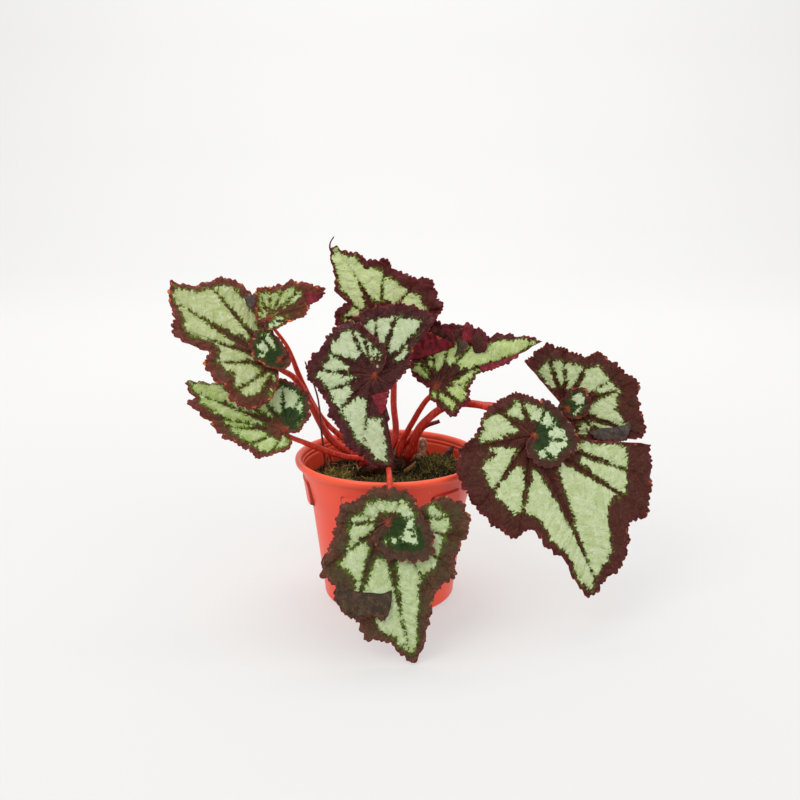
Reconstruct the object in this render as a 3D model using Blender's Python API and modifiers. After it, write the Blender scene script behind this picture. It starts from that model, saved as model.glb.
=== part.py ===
"""Potted rex begonia: nine spiral leaves on fleshy stalks, growing from a rhizome in a moulded pot.

Sizes are in millimetres until a mesh is written, +Z is up and the origin is the centre of the
pot's underside. The plant's front, where the hanging leaf is, looks along -Y.
"""
import math

import bmesh
import bpy
import numpy as np
from mathutils import Matrix, Vector

MM = 0.001
GAP = 0.3

POT_HEIGHT = 93.0
RIM_RADIUS = 60.0
BASE_RADIUS = 42.5
WALL = 1.3
FLOOR = 1.6
POT_SIDES = 40
WALL_HEIGHTS = (3.0, 60.0, 72.0, 86.0, 88.8)
WALL_RADII = (BASE_RADIUS, 49.4, 52.2, 55.6, 56.6)

LUGS = 6
LUG_FIRST = -19.3
LUG_WIDTH = 30.0
LUG_PROFILE = ((48.6, 62.4), (52.2, 62.4), (53.4, 63.8), (54.9, 77.6), (54.6, 79.2), (53.4, 79.8))

DRAINS = 6
DRAIN_RADIUS = 4.0
DRAIN_CIRCLE = 30.0

MIX_TOP = 77.0
MIX_DOME = 1.0

BLADE = 0.8
CORE = 1.4

RHIZOME_RADIUS = 4.4
RHIZOME_HEIGHT = MIX_TOP + MIX_DOME + GAP + RHIZOME_RADIUS
RHIZOME = ((-20.0, 0.0), (-7.0, 5.0), (6.0, 12.0), (18.0, 22.0))

# Each blade: the joint with its stalk, the azimuth and elevation that its upper face looks to,
# the drop of the spiral in one turn, the rise from the centre and the droop 50 mm out (degrees),
# and the margin as (angle, reach) or (angle, reach, curl) from the inner lobe to the outer end.
LEAVES = {
    "leaf_right_large": {
        "at": (88.4, -35.0, 115.0), "face": (14.0, 29.0), "turn": 4.2, "rise": 6.0, "droop": 9.0,
        "margin": ((200, 5), (225, 10), (250, 15), (274, 20), (298, 22), (322, 24), (344, 27), (363, 26),
                   (384, 23.5), (403, 23), (423, 24.5), (440, 23), (459, 28), (483, 30), (511, 33),
                   (534, 37), (545, 47), (558, 54), (574, 56), (598, 61), (610, 62.5), (618, 55.5),
                   (628, 66), (635, 74), (638, 85), (642, 99), (650, 95), (659, 93), (668, 84.5),
                   (675, 78), (681, 85), (693, 81.5), (703, 79.5), (713, 78)),
    },
    "leaf_front_hanging": {
        "at": (0.5, -80.0, 77.0), "face": (0.0, 18.0), "turn": 4.0, "rise": 6.0, "droop": 8.0,
        "margin": ((205, 6), (229, 12), (251, 15), (272, 19.5), (302, 24), (319, 29), (330, 29), (354, 23),
                   (374, 18.5), (392, 19), (408, 20), (422, 20), (448, 19.5), (464, 20.5), (491, 21),
                   (506, 22), (517, 26), (531, 29), (545, 30), (556, 33), (566, 39), (576, 46), (583, 46.5),
                   (589, 45), (596, 51), (604, 55), (612, 57), (619, 65), (630, 67), (636, 74), (641, 79),
                   (649, 65), (656, 56.5), (665, 47), (675, 47), (681, 47.5), (689, 44), (704, 43.5),
                   (721, 45.5), (732, 43.5), (740, 38.5), (746, 36)),
    },
    "leaf_crown_front": {
        "at": (-8.0, -25.0, 149.6), "face": (0.0, 21.0), "turn": 4.0, "rise": 5.0, "droop": 7.0,
        "margin": ((30, 5), (50, 9), (60, 15), (72, 20), (86, 22), (97, 27), (106, 32), (113, 36), (124, 37),
                   (137, 37.5), (150, 36), (160, 38.5), (172, 41.5), (182, 40.5), (191, 36), (204, 33),
                   (216, 34), (227, 37), (237, 39), (245, 44), (254, 47.5), (262, 49.5), (270, 55), (276, 55.5),
                   (282, 54.5), (287, 43), (292, 33), (300, 24), (318, 14), (340, 14), (358, 16), (372, 21),
                   (386, 23), (394, 29), (399, 41), (405, 51), (416, 50.5), (429, 47.5), (447, 43),
                   (458, 40.5), (470, 37.5)),
    },
    "leaf_crown_back": {
        "at": (-7.0, 25.0, 174.0), "face": (0.0, 8.0), "turn": 3.5, "rise": 5.0, "droop": 6.0,
        "margin": ((-150, 5), (-120, 12), (-90, 18), (-60, 22), (-30, 26), (-5, 34), (14, 45), (20, 42),
                   (35, 44), (43, 42), (51, 37), (66, 36.5), (78, 39.5), (90, 40.5), (97, 40), (104, 44),
                   (109, 50), (115, 58), (123, 55), (131, 46), (137, 38.5), (143, 34), (147, 26), (157, 27),
                   (165, 28), (178, 28.5), (190, 25), (215, 22), (240, 17)),
    },
    "leaf_middle_right": {
        "at": (29.6, -6.0, 139.0), "face": (-11.0, 25.0), "turn": 3.2, "rise": 6.0, "droop": 4.0,
        "margin": ((190, 4), (235, 7), (278, 12), (292, 18), (303, 23.5), (319, 22), (341, 23), (357, 21.5),
                   (370, 23.5), (380, 32), (382, 47), (383.5, 60), (385, 71), (392, 62), (401, 53), (405, 45),
                   (413, 44), (424, 44), (433, 42), (446, 40, 50), (460, 42, 90), (474, 40, 100),
                   (488, 34, 90), (498, 25, 40), (519, 16), (531, 9), (550, 6)),
    },
    "leaf_far_right": {
        "at": (115.0, 5.0, 121.6), "face": (2.0, 21.0), "turn": 3.2, "rise": 5.0, "droop": 4.0,
        "margin": ((225, 4), (270, 6), (313, 9), (351, 14), (384, 17), (410, 17), (455, 13), (490, 11.5),
                   (530, 8), (570, 8), (610, 11), (640, 20), (668, 30, 40), (688, 40, 50), (700, 52),
                   (713, 50), (725, 47.5), (741, 50), (751, 46), (769, 43.5), (778, 44.5), (785, 38),
                   (800, 38), (812, 40), (826, 43.5), (840, 41.5), (850, 40)),
    },
    "leaf_left_high": {
        "at": (-66.0, -15.0, 157.0), "face": (18.6, 30.0), "turn": 3.6, "rise": 5.0, "droop": 6.0,
        "margin": ((37, 6), (77, 11), (95, 18), (113, 22), (139, 21), (160, 18), (185, 11), (220, 7),
                   (260, 6), (300, 6), (340, 7), (380, 8), (410, 9), (432, 11), (447, 13), (458, 20), (463, 40),
                   (468, 56), (476, 63.5), (484, 67), (491, 71), (496, 79.5), (500, 80), (510, 69), (517, 67),
                   (522, 61), (525, 50), (530, 42), (536, 45.5), (548, 42), (563, 37), (577, 38.5),
                   (585, 38), (595, 34.5), (604, 29), (611, 22), (617, 14)),
    },
    "leaf_left_small": {
        "at": (-72.3, -10.0, 182.2), "face": (10.0, 22.0), "turn": 3.0, "rise": 6.0, "droop": 0.0,
        "margin": ((-150, 4), (-110, 7), (-70, 8), (-35, 9), (-10, 14), (2, 21), (10, 25), (19, 28, 30),
                   (25, 38, 40), (32, 35, 30), (46, 30), (64, 24), (80, 20), (96, 18), (112, 20), (130, 14),
                   (149, 9), (175, 8), (205, 7)),
    },
    "leaf_left_low": {
        "at": (-63.0, -25.0, 117.0), "face": (-5.0, 45.0), "turn": 3.4, "rise": 6.0, "droop": 8.0,
        "margin": ((-60, 5), (-30, 7), (25, 14), (47, 22), (58, 24), (71, 28), (85, 32), (96, 35), (108, 34),
                   (122, 38), (138, 50), (149, 64), (154, 76), (160, 65), (166, 65), (170, 57), (175, 46),
                   (181, 44), (188, 39), (201, 32), (218, 25.5), (232, 24.5), (243, 23), (258, 18.5),
                   (279, 15), (296, 11.5), (312, 8)),
    },
}

# Each stalk: its leaf, the x on the rhizome where it grows, the way it leaves, the points that it
# passes through, and its radii at the rhizome and under the blade.
STALKS = {
    "stalk_left_high": ("leaf_left_high", -13.5, (-0.45, -0.25, 0.86),
                        ((-24.0, 4.0, 92.6), (-34.9, 5.0, 98.6), (-50.2, 8.0, 123.0), (-60.0, 6.0, 141.0)),
                        (2.4, 1.7)),
    "stalk_left_low": ("leaf_left_low", -18.5, (-0.35, -0.75, 0.55),
                       ((-28.3, -7.5, 93.0), (-43.5, -12.0, 100.0), (-52.6, -16.0, 105.0)), (1.9, 1.4)),
    "stalk_left_small": ("leaf_left_small", -12.0, (-0.30, 0.60, 0.70),
                         ((-25.0, 14.0, 95.0), (-41.7, 17.0, 109.0), (-57.0, 17.0, 137.0),
                          (-64.5, 11.0, 160.0)), (1.8, 1.1)),
    "stalk_crown_front": ("leaf_crown_front", -6.5, (0.00, -0.45, 0.89),
                          ((-7.0, 0.0, 106.0), (-8.0, -9.0, 134.0)), (2.1, 1.6)),
    "stalk_crown_back": ("leaf_crown_back", 1.0, (0.10, 0.25, 0.97),
                         ((2.6, 12.0, 95.7), (2.9, 22.0, 122.0), (2.9, 27.0, 135.0), (0.0, 33.0, 155.0)),
                         (2.1, 1.5)),
    "stalk_middle_right": ("leaf_middle_right", 6.0, (0.25, -0.05, 0.97),
                           ((9.2, 11.0, 98.5), (16.3, 10.5, 112.5), (23.3, 8.0, 125.0)), (1.9, 1.5)),
    "stalk_right_large": ("leaf_right_large", 10.0, (0.50, -0.55, 0.67),
                          ((20.2, 6.0, 108.0), (32.9, 6.0, 120.5), (42.3, 3.0, 125.2), (51.4, -3.0, 126.7),
                           (61.5, -10.0, 126.5), (75.0, -19.0, 122.0)), (2.5, 2.0)),
    "stalk_far_right": ("leaf_far_right", 11.5, (0.10, 0.60, 0.80),
                        ((14.6, 20.0, 97.0), (21.5, 20.0, 107.5), (35.0, 20.0, 117.5), (60.0, 19.0, 121.0),
                         (88.0, 19.0, 117.5)),
                        (1.8, 1.4)),
    "stalk_front_hanging": ("leaf_front_hanging", -1.0, (0.40, -0.85, 0.35),
                            ((0.0, -20.0, 88.5), (0.6, -48.0, 97.0), (1.2, -62.0, 96.5), (1.2, -68.0, 88.0)),
                            (2.2, 1.7)),
}

# Each clump of moss: centre (x, y), radii (x, y, height) and the seed of its bumps.
MOSS = {
    "moss_left": ((-33.0, -14.0), (10.5, 13.0, 6.0), 1),
    "moss_front": ((2.0, -31.0), (22.0, 13.0, 6.5), 2),
    "moss_right": ((33.0, 6.0), (14.0, 17.0, 9.5), 3),
    "moss_back": ((-10.0, 31.0), (20.0, 12.0, 8.0), 4),
}

PLANT = "potted_rex_begonia"


def collection(name):
    """A new collection of the scene."""
    group = bpy.data.collections.new(name)
    bpy.context.scene.collection.children.link(group)
    return group


def material(name, colour, roughness):
    """A Principled material of one colour."""
    mat = bpy.data.materials.new(name)
    mat.use_nodes = True
    shader = mat.node_tree.nodes["Principled BSDF"]
    shader.inputs["Base Color"].default_value = (*colour, 1.0)
    shader.inputs["Roughness"].default_value = roughness
    shader.inputs["Metallic"].default_value = 0.0
    return mat


def mesh_object(name, bm, group, mat=None):
    """An object in the group from a bmesh, with its own material."""
    mesh = bpy.data.meshes.new(name)
    bm.to_mesh(mesh)
    bm.free()
    obj = bpy.data.objects.new(name, mesh)
    group.objects.link(obj)
    if mat is not None:
        mesh.materials.append(mat)
    return obj


def smooth(rows, at, knots=None):
    """A smooth curve through the rows, which lie at the knots (or at 0, 1, 2...), read at the values in at."""
    rows = np.asarray(rows, float)
    knots = np.arange(len(rows)) if knots is None else np.asarray(knots)
    slopes = np.gradient(rows, knots, axis=0)
    low = np.clip(np.searchsorted(knots, at, side="right") - 1, 0, len(rows) - 2)
    span = (knots[low + 1] - knots[low])[:, None]
    t = (np.asarray(at) - knots[low])[:, None] / span
    square, cube = t ** 2, t ** 3
    return ((2 * cube - 3 * square + 1) * rows[low] + (cube - 2 * square + t) * span * slopes[low]
            + (3 * square - 2 * cube) * rows[low + 1] + (cube - square) * span * slopes[low + 1])


def wall_radius(height):
    """Outer radius of the pot's wall at a height."""
    return float(np.interp(height, WALL_HEIGHTS, WALL_RADII))


def pot_profile():
    """Section of the pot from the middle of its floor, up the inside, over the rim and down."""
    inside = [(0.0, FLOOR), (BASE_RADIUS - WALL - 1.6, FLOOR), (BASE_RADIUS - WALL, FLOOR + 1.6)]
    inside += [(wall_radius(z) - WALL, z) for z in (60.0, 72.0, 84.0)]
    ridges = [(54.2, 86.2), (54.9, 86.8), (54.8, 88.4), (55.6, 89.0), (55.6, 90.6), (56.6, 92.4), (57.6, 93.0)]
    rim = [(58.8, POT_HEIGHT), (59.7, 92.4), (RIM_RADIUS, 91.0), (59.8, 89.6), (59.0, 89.0), (57.2, 88.8)]
    outside = [(wall_radius(z), z) for z in (86.0, 72.0, 60.0, 3.0)]
    base = [(BASE_RADIUS - 0.6, 0.8), (BASE_RADIUS - 1.8, 0.0), (0.0, 0.0)]
    return inside + ridges + rim + outside + base


def turned(name, profile, group, mat):
    """A solid turned round Z from a profile of (radius, height) points."""
    bm = bmesh.new()
    points = [bm.verts.new((r * MM, 0.0, z * MM)) for r, z in profile]
    for first, second in zip(points, points[1:]):
        bm.edges.new((first, second))
    obj = mesh_object(name, bm, group, mat)
    turn = obj.modifiers.new("turn", "SCREW")
    turn.steps = turn.render_steps = POT_SIDES
    turn.use_merge_vertices = True
    turn.merge_threshold = 0.00001
    weld = obj.modifiers.new("weld", "WELD")
    weld.merge_threshold = 0.00001
    return obj


def lug_blocks(group):
    """The stacking lugs as blocks that reach into the wall."""
    bm = bmesh.new()
    for k in range(LUGS):
        section = bmesh.ops.create_circle(bm, segments=len(LUG_PROFILE), radius=MM)["verts"]
        start = math.radians(LUG_FIRST + k * 360.0 / LUGS - LUG_WIDTH / 2)
        for vert, (r, z) in zip(section, LUG_PROFILE):
            vert.co = Vector((r * math.sin(start), -r * math.cos(start), z)) * MM
        ring = list({edge for vert in section for edge in vert.link_edges})
        bmesh.ops.spin(bm, geom=[*section, *ring], angle=math.radians(LUG_WIDTH), steps=5,
                       axis=(0, 0, 1), cent=(0, 0, 0))
    bmesh.ops.holes_fill(bm, edges=[edge for edge in bm.edges if edge.is_boundary], sides=0)
    bmesh.ops.recalc_face_normals(bm, faces=bm.faces)
    return mesh_object("lug_blocks", bm, group)


def drain_pins(group):
    """Cutters for the ring of drain holes in the pot's floor."""
    bm = bmesh.new()
    for k in range(DRAINS):
        angle = math.tau * (k + 0.5) / DRAINS
        place = Matrix.Translation(Vector((math.cos(angle) * DRAIN_CIRCLE, math.sin(angle) * DRAIN_CIRCLE, 0)) * MM)
        bmesh.ops.create_cone(bm, cap_ends=True, segments=12, radius1=DRAIN_RADIUS * MM,
                              radius2=DRAIN_RADIUS * MM, depth=8 * MM, matrix=place)
    return mesh_object("drain_pins", bm, group)


def boolean(obj, other, operation):
    """Join or cut an object with a hidden guide."""
    step = obj.modifiers.new(other.name, "BOOLEAN")
    step.operation = operation
    step.solver = "EXACT"
    step.object = other
    other.hide_render = True
    other.display_type = "WIRE"


def pot(group, guides):
    """The moulded pot with its lugs and drain holes."""
    plastic = material("red_orange_plastic", (0.85, 0.13, 0.07), 0.45)
    obj = turned("pot", pot_profile(), group, plastic)
    boolean(obj, lug_blocks(guides), "UNION")
    boolean(obj, drain_pins(guides), "DIFFERENCE")
    return obj


def potting_mix(group):
    """The mix that fills the pot, a little domed on top."""
    gap = WALL + GAP + 0.1
    low = FLOOR + GAP
    profile = [(0.0, MIX_TOP + MIX_DOME), (28.0, MIX_TOP + MIX_DOME), (46.0, MIX_TOP),
               (wall_radius(MIX_TOP) - gap, MIX_TOP - 0.8), (wall_radius(72.0) - gap, 72.0),
               (wall_radius(60.0) - gap, 60.0), (BASE_RADIUS - gap, low + 1.8), (BASE_RADIUS - gap - 1.8, low),
               (0.0, low)]
    return turned("potting_mix", profile, group, material("dark_mix", (0.03, 0.02, 0.012), 0.95))


def moss(name, centre, radii, seed, group):
    """A low clump of moss, flat underneath."""
    bm = bmesh.new()
    bmesh.ops.create_uvsphere(bm, u_segments=14, v_segments=8, radius=1.0)
    bottom = MIX_TOP + MIX_DOME + GAP
    for vert in bm.verts:
        x, y, z = vert.co
        bump = 1.0 + 0.07 * math.sin(5 * x + seed) * math.cos(4 * y - 2 * seed)
        height = max(z, 0.0) * radii[2] * bump
        vert.co = Vector((centre[0] + x * radii[0] * bump, centre[1] + y * radii[1] * bump, bottom + height)) * MM
    return mesh_object(name, bm, group, material(name, (0.09, 0.10, 0.02), 0.9))


def tube(name, points, radii, group, mat, samples=14, sides=2):
    """A round stalk along a smooth curve, tapering between its two end radii."""
    steps = np.linalg.norm(np.diff(np.asarray(points, float), axis=0), axis=1)
    reached = np.concatenate([[0.0], np.cumsum(steps)])
    path = smooth(points, np.linspace(0, reached[-1], samples), reached)
    curve = bpy.data.curves.new(name, "CURVE")
    curve.dimensions = "3D"
    curve.bevel_depth = radii[0] * MM
    curve.bevel_resolution = sides
    curve.use_fill_caps = True
    spline = curve.splines.new("POLY")
    spline.points.add(samples - 1)
    for k, (point, place) in enumerate(zip(spline.points, path)):
        point.co = (*(place * MM), 1.0)
        share = k / (samples - 1)
        point.radius = 1.0 + (radii[1] / radii[0] - 1.0) * share
    curve.materials.append(mat)
    obj = bpy.data.objects.new(name, curve)
    group.objects.link(obj)
    return obj


def rhizome_line():
    """Centre line of the rhizome, as points."""
    return [(x, y, RHIZOME_HEIGHT) for x, y in RHIZOME]


def leaf_axes(face):
    """The blade's normal and its two in-plane axes, rightward and upward as seen from the front."""
    azimuth, elevation = math.radians(face[0]), math.radians(face[1])
    normal = Vector((math.sin(azimuth) * math.cos(elevation), -math.cos(azimuth) * math.cos(elevation),
                     math.sin(elevation)))
    right = Vector((0, 0, 1)).cross(normal).normalized()
    return normal, right, normal.cross(right)


def blade_surface(leaf, columns, rows):
    """Points of the blade, columns round the spiral by rows from its core to the margin."""
    margin = np.array([(p[0], p[1], p[2] if len(p) > 2 else 0.0) for p in leaf["margin"]], float)
    angle, reach, curl = smooth(margin, np.linspace(0, len(margin) - 1, columns)).T
    fine = 4 * rows
    share = (np.arange(fine) + 0.5) / fine
    ramp = np.clip((share - 0.55) / 0.45, 0, 1) ** 2
    run = reach[:, None] - CORE
    slope = np.radians(leaf["rise"] - leaf["droop"] * share * reach[:, None] / 50.0 + curl[:, None] * ramp)
    out = np.cumsum(np.cos(slope) * run / fine, axis=1)
    lift = np.cumsum(np.sin(slope) * run / fine, axis=1)
    radius = CORE + np.concatenate([np.zeros((columns, 1)), out[:, 3::4]], axis=1)
    height = np.concatenate([np.zeros((columns, 1)), lift[:, 3::4]], axis=1)
    height -= leaf["turn"] * (angle[:, None] - angle[0]) / 360.0
    turn = np.radians(angle)[:, None]
    normal, right, up = (np.array(axis) for axis in leaf_axes(leaf["face"]))
    return (np.array(leaf["at"]) + (radius * np.cos(turn))[..., None] * right
            + (radius * np.sin(turn))[..., None] * up + height[..., None] * normal)


def blade(name, leaf, group, mat):
    """A thin closed blade, wound into its spiral."""
    columns, rows = len(leaf["margin"]), 4
    points = blade_surface(leaf, columns, rows)
    bm = bmesh.new()
    bmesh.ops.create_grid(bm, x_segments=columns - 1, y_segments=rows, size=1.0)
    for vert in bm.verts:
        column = round((1.0 - vert.co.x) / 2.0 * (columns - 1))
        row = round((vert.co.y + 1.0) / 2.0 * rows)
        vert.co = Vector(points[column, row]) * MM
    obj = mesh_object(name, bm, group, mat)
    thick = obj.modifiers.new("thickness", "SOLIDIFY")
    thick.thickness = BLADE * MM
    thick.offset = -1.0
    return obj


def stalk(name, spec, group, mat):
    """A leaf stalk from the rhizome to the back of its blade."""
    leaf_name, grows_at, way, route, radii = spec
    leaf = LEAVES[leaf_name]
    line = np.array(rhizome_line())
    seat = Vector((grows_at, float(np.interp(grows_at, line[:, 0], line[:, 1])), RHIZOME_HEIGHT))
    way = Vector(way)
    along = Vector(line[-1] - line[0]).normalized()
    outward = (way - along * way.dot(along)).normalized()
    start = seat + outward * (RHIZOME_RADIUS + 2.8 * GAP)
    normal = leaf_axes(leaf["face"])[0]
    turns = (leaf["margin"][-1][0] - leaf["margin"][0][0]) / 360.0
    end = Vector(leaf["at"]) - normal * (leaf["turn"] * turns + BLADE + 1.5 * GAP)
    points = [tuple(start), tuple(start + outward * 4.0), *route, tuple(end - normal * 4.0), tuple(end)]
    return tube(name, points, radii, group, mat)


def plant(group):
    """Rhizome, stalks, blades and the small pieces at the crown."""
    leaf_green = material("silver_green_leaf", (0.45, 0.60, 0.38), 0.5)
    red_stalk = material("red_stalk", (0.50, 0.06, 0.03), 0.45)
    brown = material("dry_brown", (0.20, 0.08, 0.04), 0.8)
    tube("rhizome", rhizome_line(), (RHIZOME_RADIUS, RHIZOME_RADIUS), group,
         material("rhizome", (0.35, 0.10, 0.06), 0.7), samples=10, sides=3)
    for name, spec in STALKS.items():
        stalk(name, spec, group, red_stalk)
    for name, leaf in LEAVES.items():
        blade(name, leaf, group, leaf_green)
    tube("cut_stalk", ((16.4, 21.0, 88.4), (18.5, 23.5, 96.0), (22.6, 25.0, 103.0), (33.8, 26.0, 107.6)),
         (1.7, 1.3), group, red_stalk, samples=7)
    tube("rhizome_bud", ((19.4, 23.4, 83.2), (23.0, 27.0, 88.0), (21.8, 29.0, 95.4)), (2.3, 1.7), group,
         material("pale_bud", (0.70, 0.45, 0.36), 0.6), samples=6)
    tube("dry_flower_stalk", ((-40.2, 2.0, 77.7), (-43.0, 1.0, 104.3), (-45.2, 0.0, 130.7), (-52.6, 0.0, 153.5)),
         (0.8, 0.5), group, brown, samples=12, sides=1)
    tube("dry_side_stalk", ((-37.0, 4.0, 77.9), (-38.0, 4.5, 88.0), (-40.0, 5.0, 96.0)), (0.6, 0.4), group,
         brown, samples=6, sides=1)
    tube("young_shoot", ((38.0, 27.0, 77.5), (39.5, 28.0, 83.0), (43.6, 30.0, 89.5)), (2.2, 0.7), group,
         material("young_shoot", (0.16, 0.03, 0.03), 0.6), samples=7)
    tube("dry_stipule", ((10.0, 6.3, 79.2), (14.0, 5.6, 81.5), (17.5, 5.0, 86.0)), (1.2, 0.5), group,
         material("dry_beige", (0.55, 0.36, 0.20), 0.8), samples=6, sides=1)


def main():
    for obj in list(bpy.data.objects):
        bpy.data.objects.remove(obj, do_unlink=True)
    group = collection(PLANT)
    guides = collection("guides")
    pot(group, guides)
    potting_mix(group)
    for name, (centre, radii, seed) in MOSS.items():
        moss(name, centre, radii, seed, group)
    plant(group)


main()
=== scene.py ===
"""Potted rex begonia: the finished look of the plant and its pot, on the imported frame."""

import math

import bmesh
import bpy
import numpy as np
from mathutils import Matrix, Vector, noise


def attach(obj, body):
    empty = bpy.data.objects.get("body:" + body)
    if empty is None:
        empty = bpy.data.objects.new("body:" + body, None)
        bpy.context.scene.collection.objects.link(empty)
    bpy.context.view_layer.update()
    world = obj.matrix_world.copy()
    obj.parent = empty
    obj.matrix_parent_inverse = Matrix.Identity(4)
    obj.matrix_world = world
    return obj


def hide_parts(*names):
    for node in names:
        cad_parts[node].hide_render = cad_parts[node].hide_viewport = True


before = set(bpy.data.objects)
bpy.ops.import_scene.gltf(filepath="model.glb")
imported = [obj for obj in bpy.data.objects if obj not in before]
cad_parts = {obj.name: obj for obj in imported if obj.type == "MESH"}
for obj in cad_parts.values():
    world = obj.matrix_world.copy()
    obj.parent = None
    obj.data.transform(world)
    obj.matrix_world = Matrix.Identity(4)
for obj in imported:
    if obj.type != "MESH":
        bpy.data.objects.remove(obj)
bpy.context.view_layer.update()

MM = 0.001

# Camera: eye and tilt in metres and degrees, level, looking along +Y.
EYE = (0.0072, -0.525, 0.253)
LOOK_DOWN = 13.36
LENS = 38.25
SENSOR = 36.0

# Pot, in millimetres.
POT_HEIGHT = 93.0
BASE_RADIUS = 42.5
WALL = 1.3
FLOOR = 1.6
POT_STEPS = 360
WALL_HEIGHTS = (3.0, 60.0, 72.0, 86.0, 88.8)
WALL_RADII = (BASE_RADIUS, 49.4, 52.2, 55.6, 56.6)
LUGS = 6
CARPET_TUFTS = 900
GOLDEN_TURN = 2.39996
FLOOR_GLOW = 0.46
LUG_FIRST = -18.5
LUG_HALF_WIDTH = 12.4
LUG_LOW, LUG_HIGH = 64.5, 81.0
LUG_CORNER = 3.2
LUG_PROUD = ((62.0, 2.3), (64.0, 2.6), (77.6, 1.4), (80.0, 1.3))
DRAINS = 6
DRAIN_RADIUS = 4.0
DRAIN_CIRCLE = 30.0

MIX_TOP = 77.0
MIX_DOME = 1.0
MOSS_FOOT = MIX_TOP + MIX_DOME + 0.3

# Blades.
CORE = 0.4
NARROWEST = 0.12
BLADE = 0.45
ROWS = 30
MARGIN_STEP = 0.55
END_BAND = 2.8

RHIZOME_RADIUS = 4.4
RHIZOME_HEIGHT = MIX_TOP + MIX_DOME + 0.3 + RHIZOME_RADIUS
RHIZOME = ((-20.0, 0.0), (-7.0, 5.0), (6.0, 12.0), (18.0, 22.0))

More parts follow.
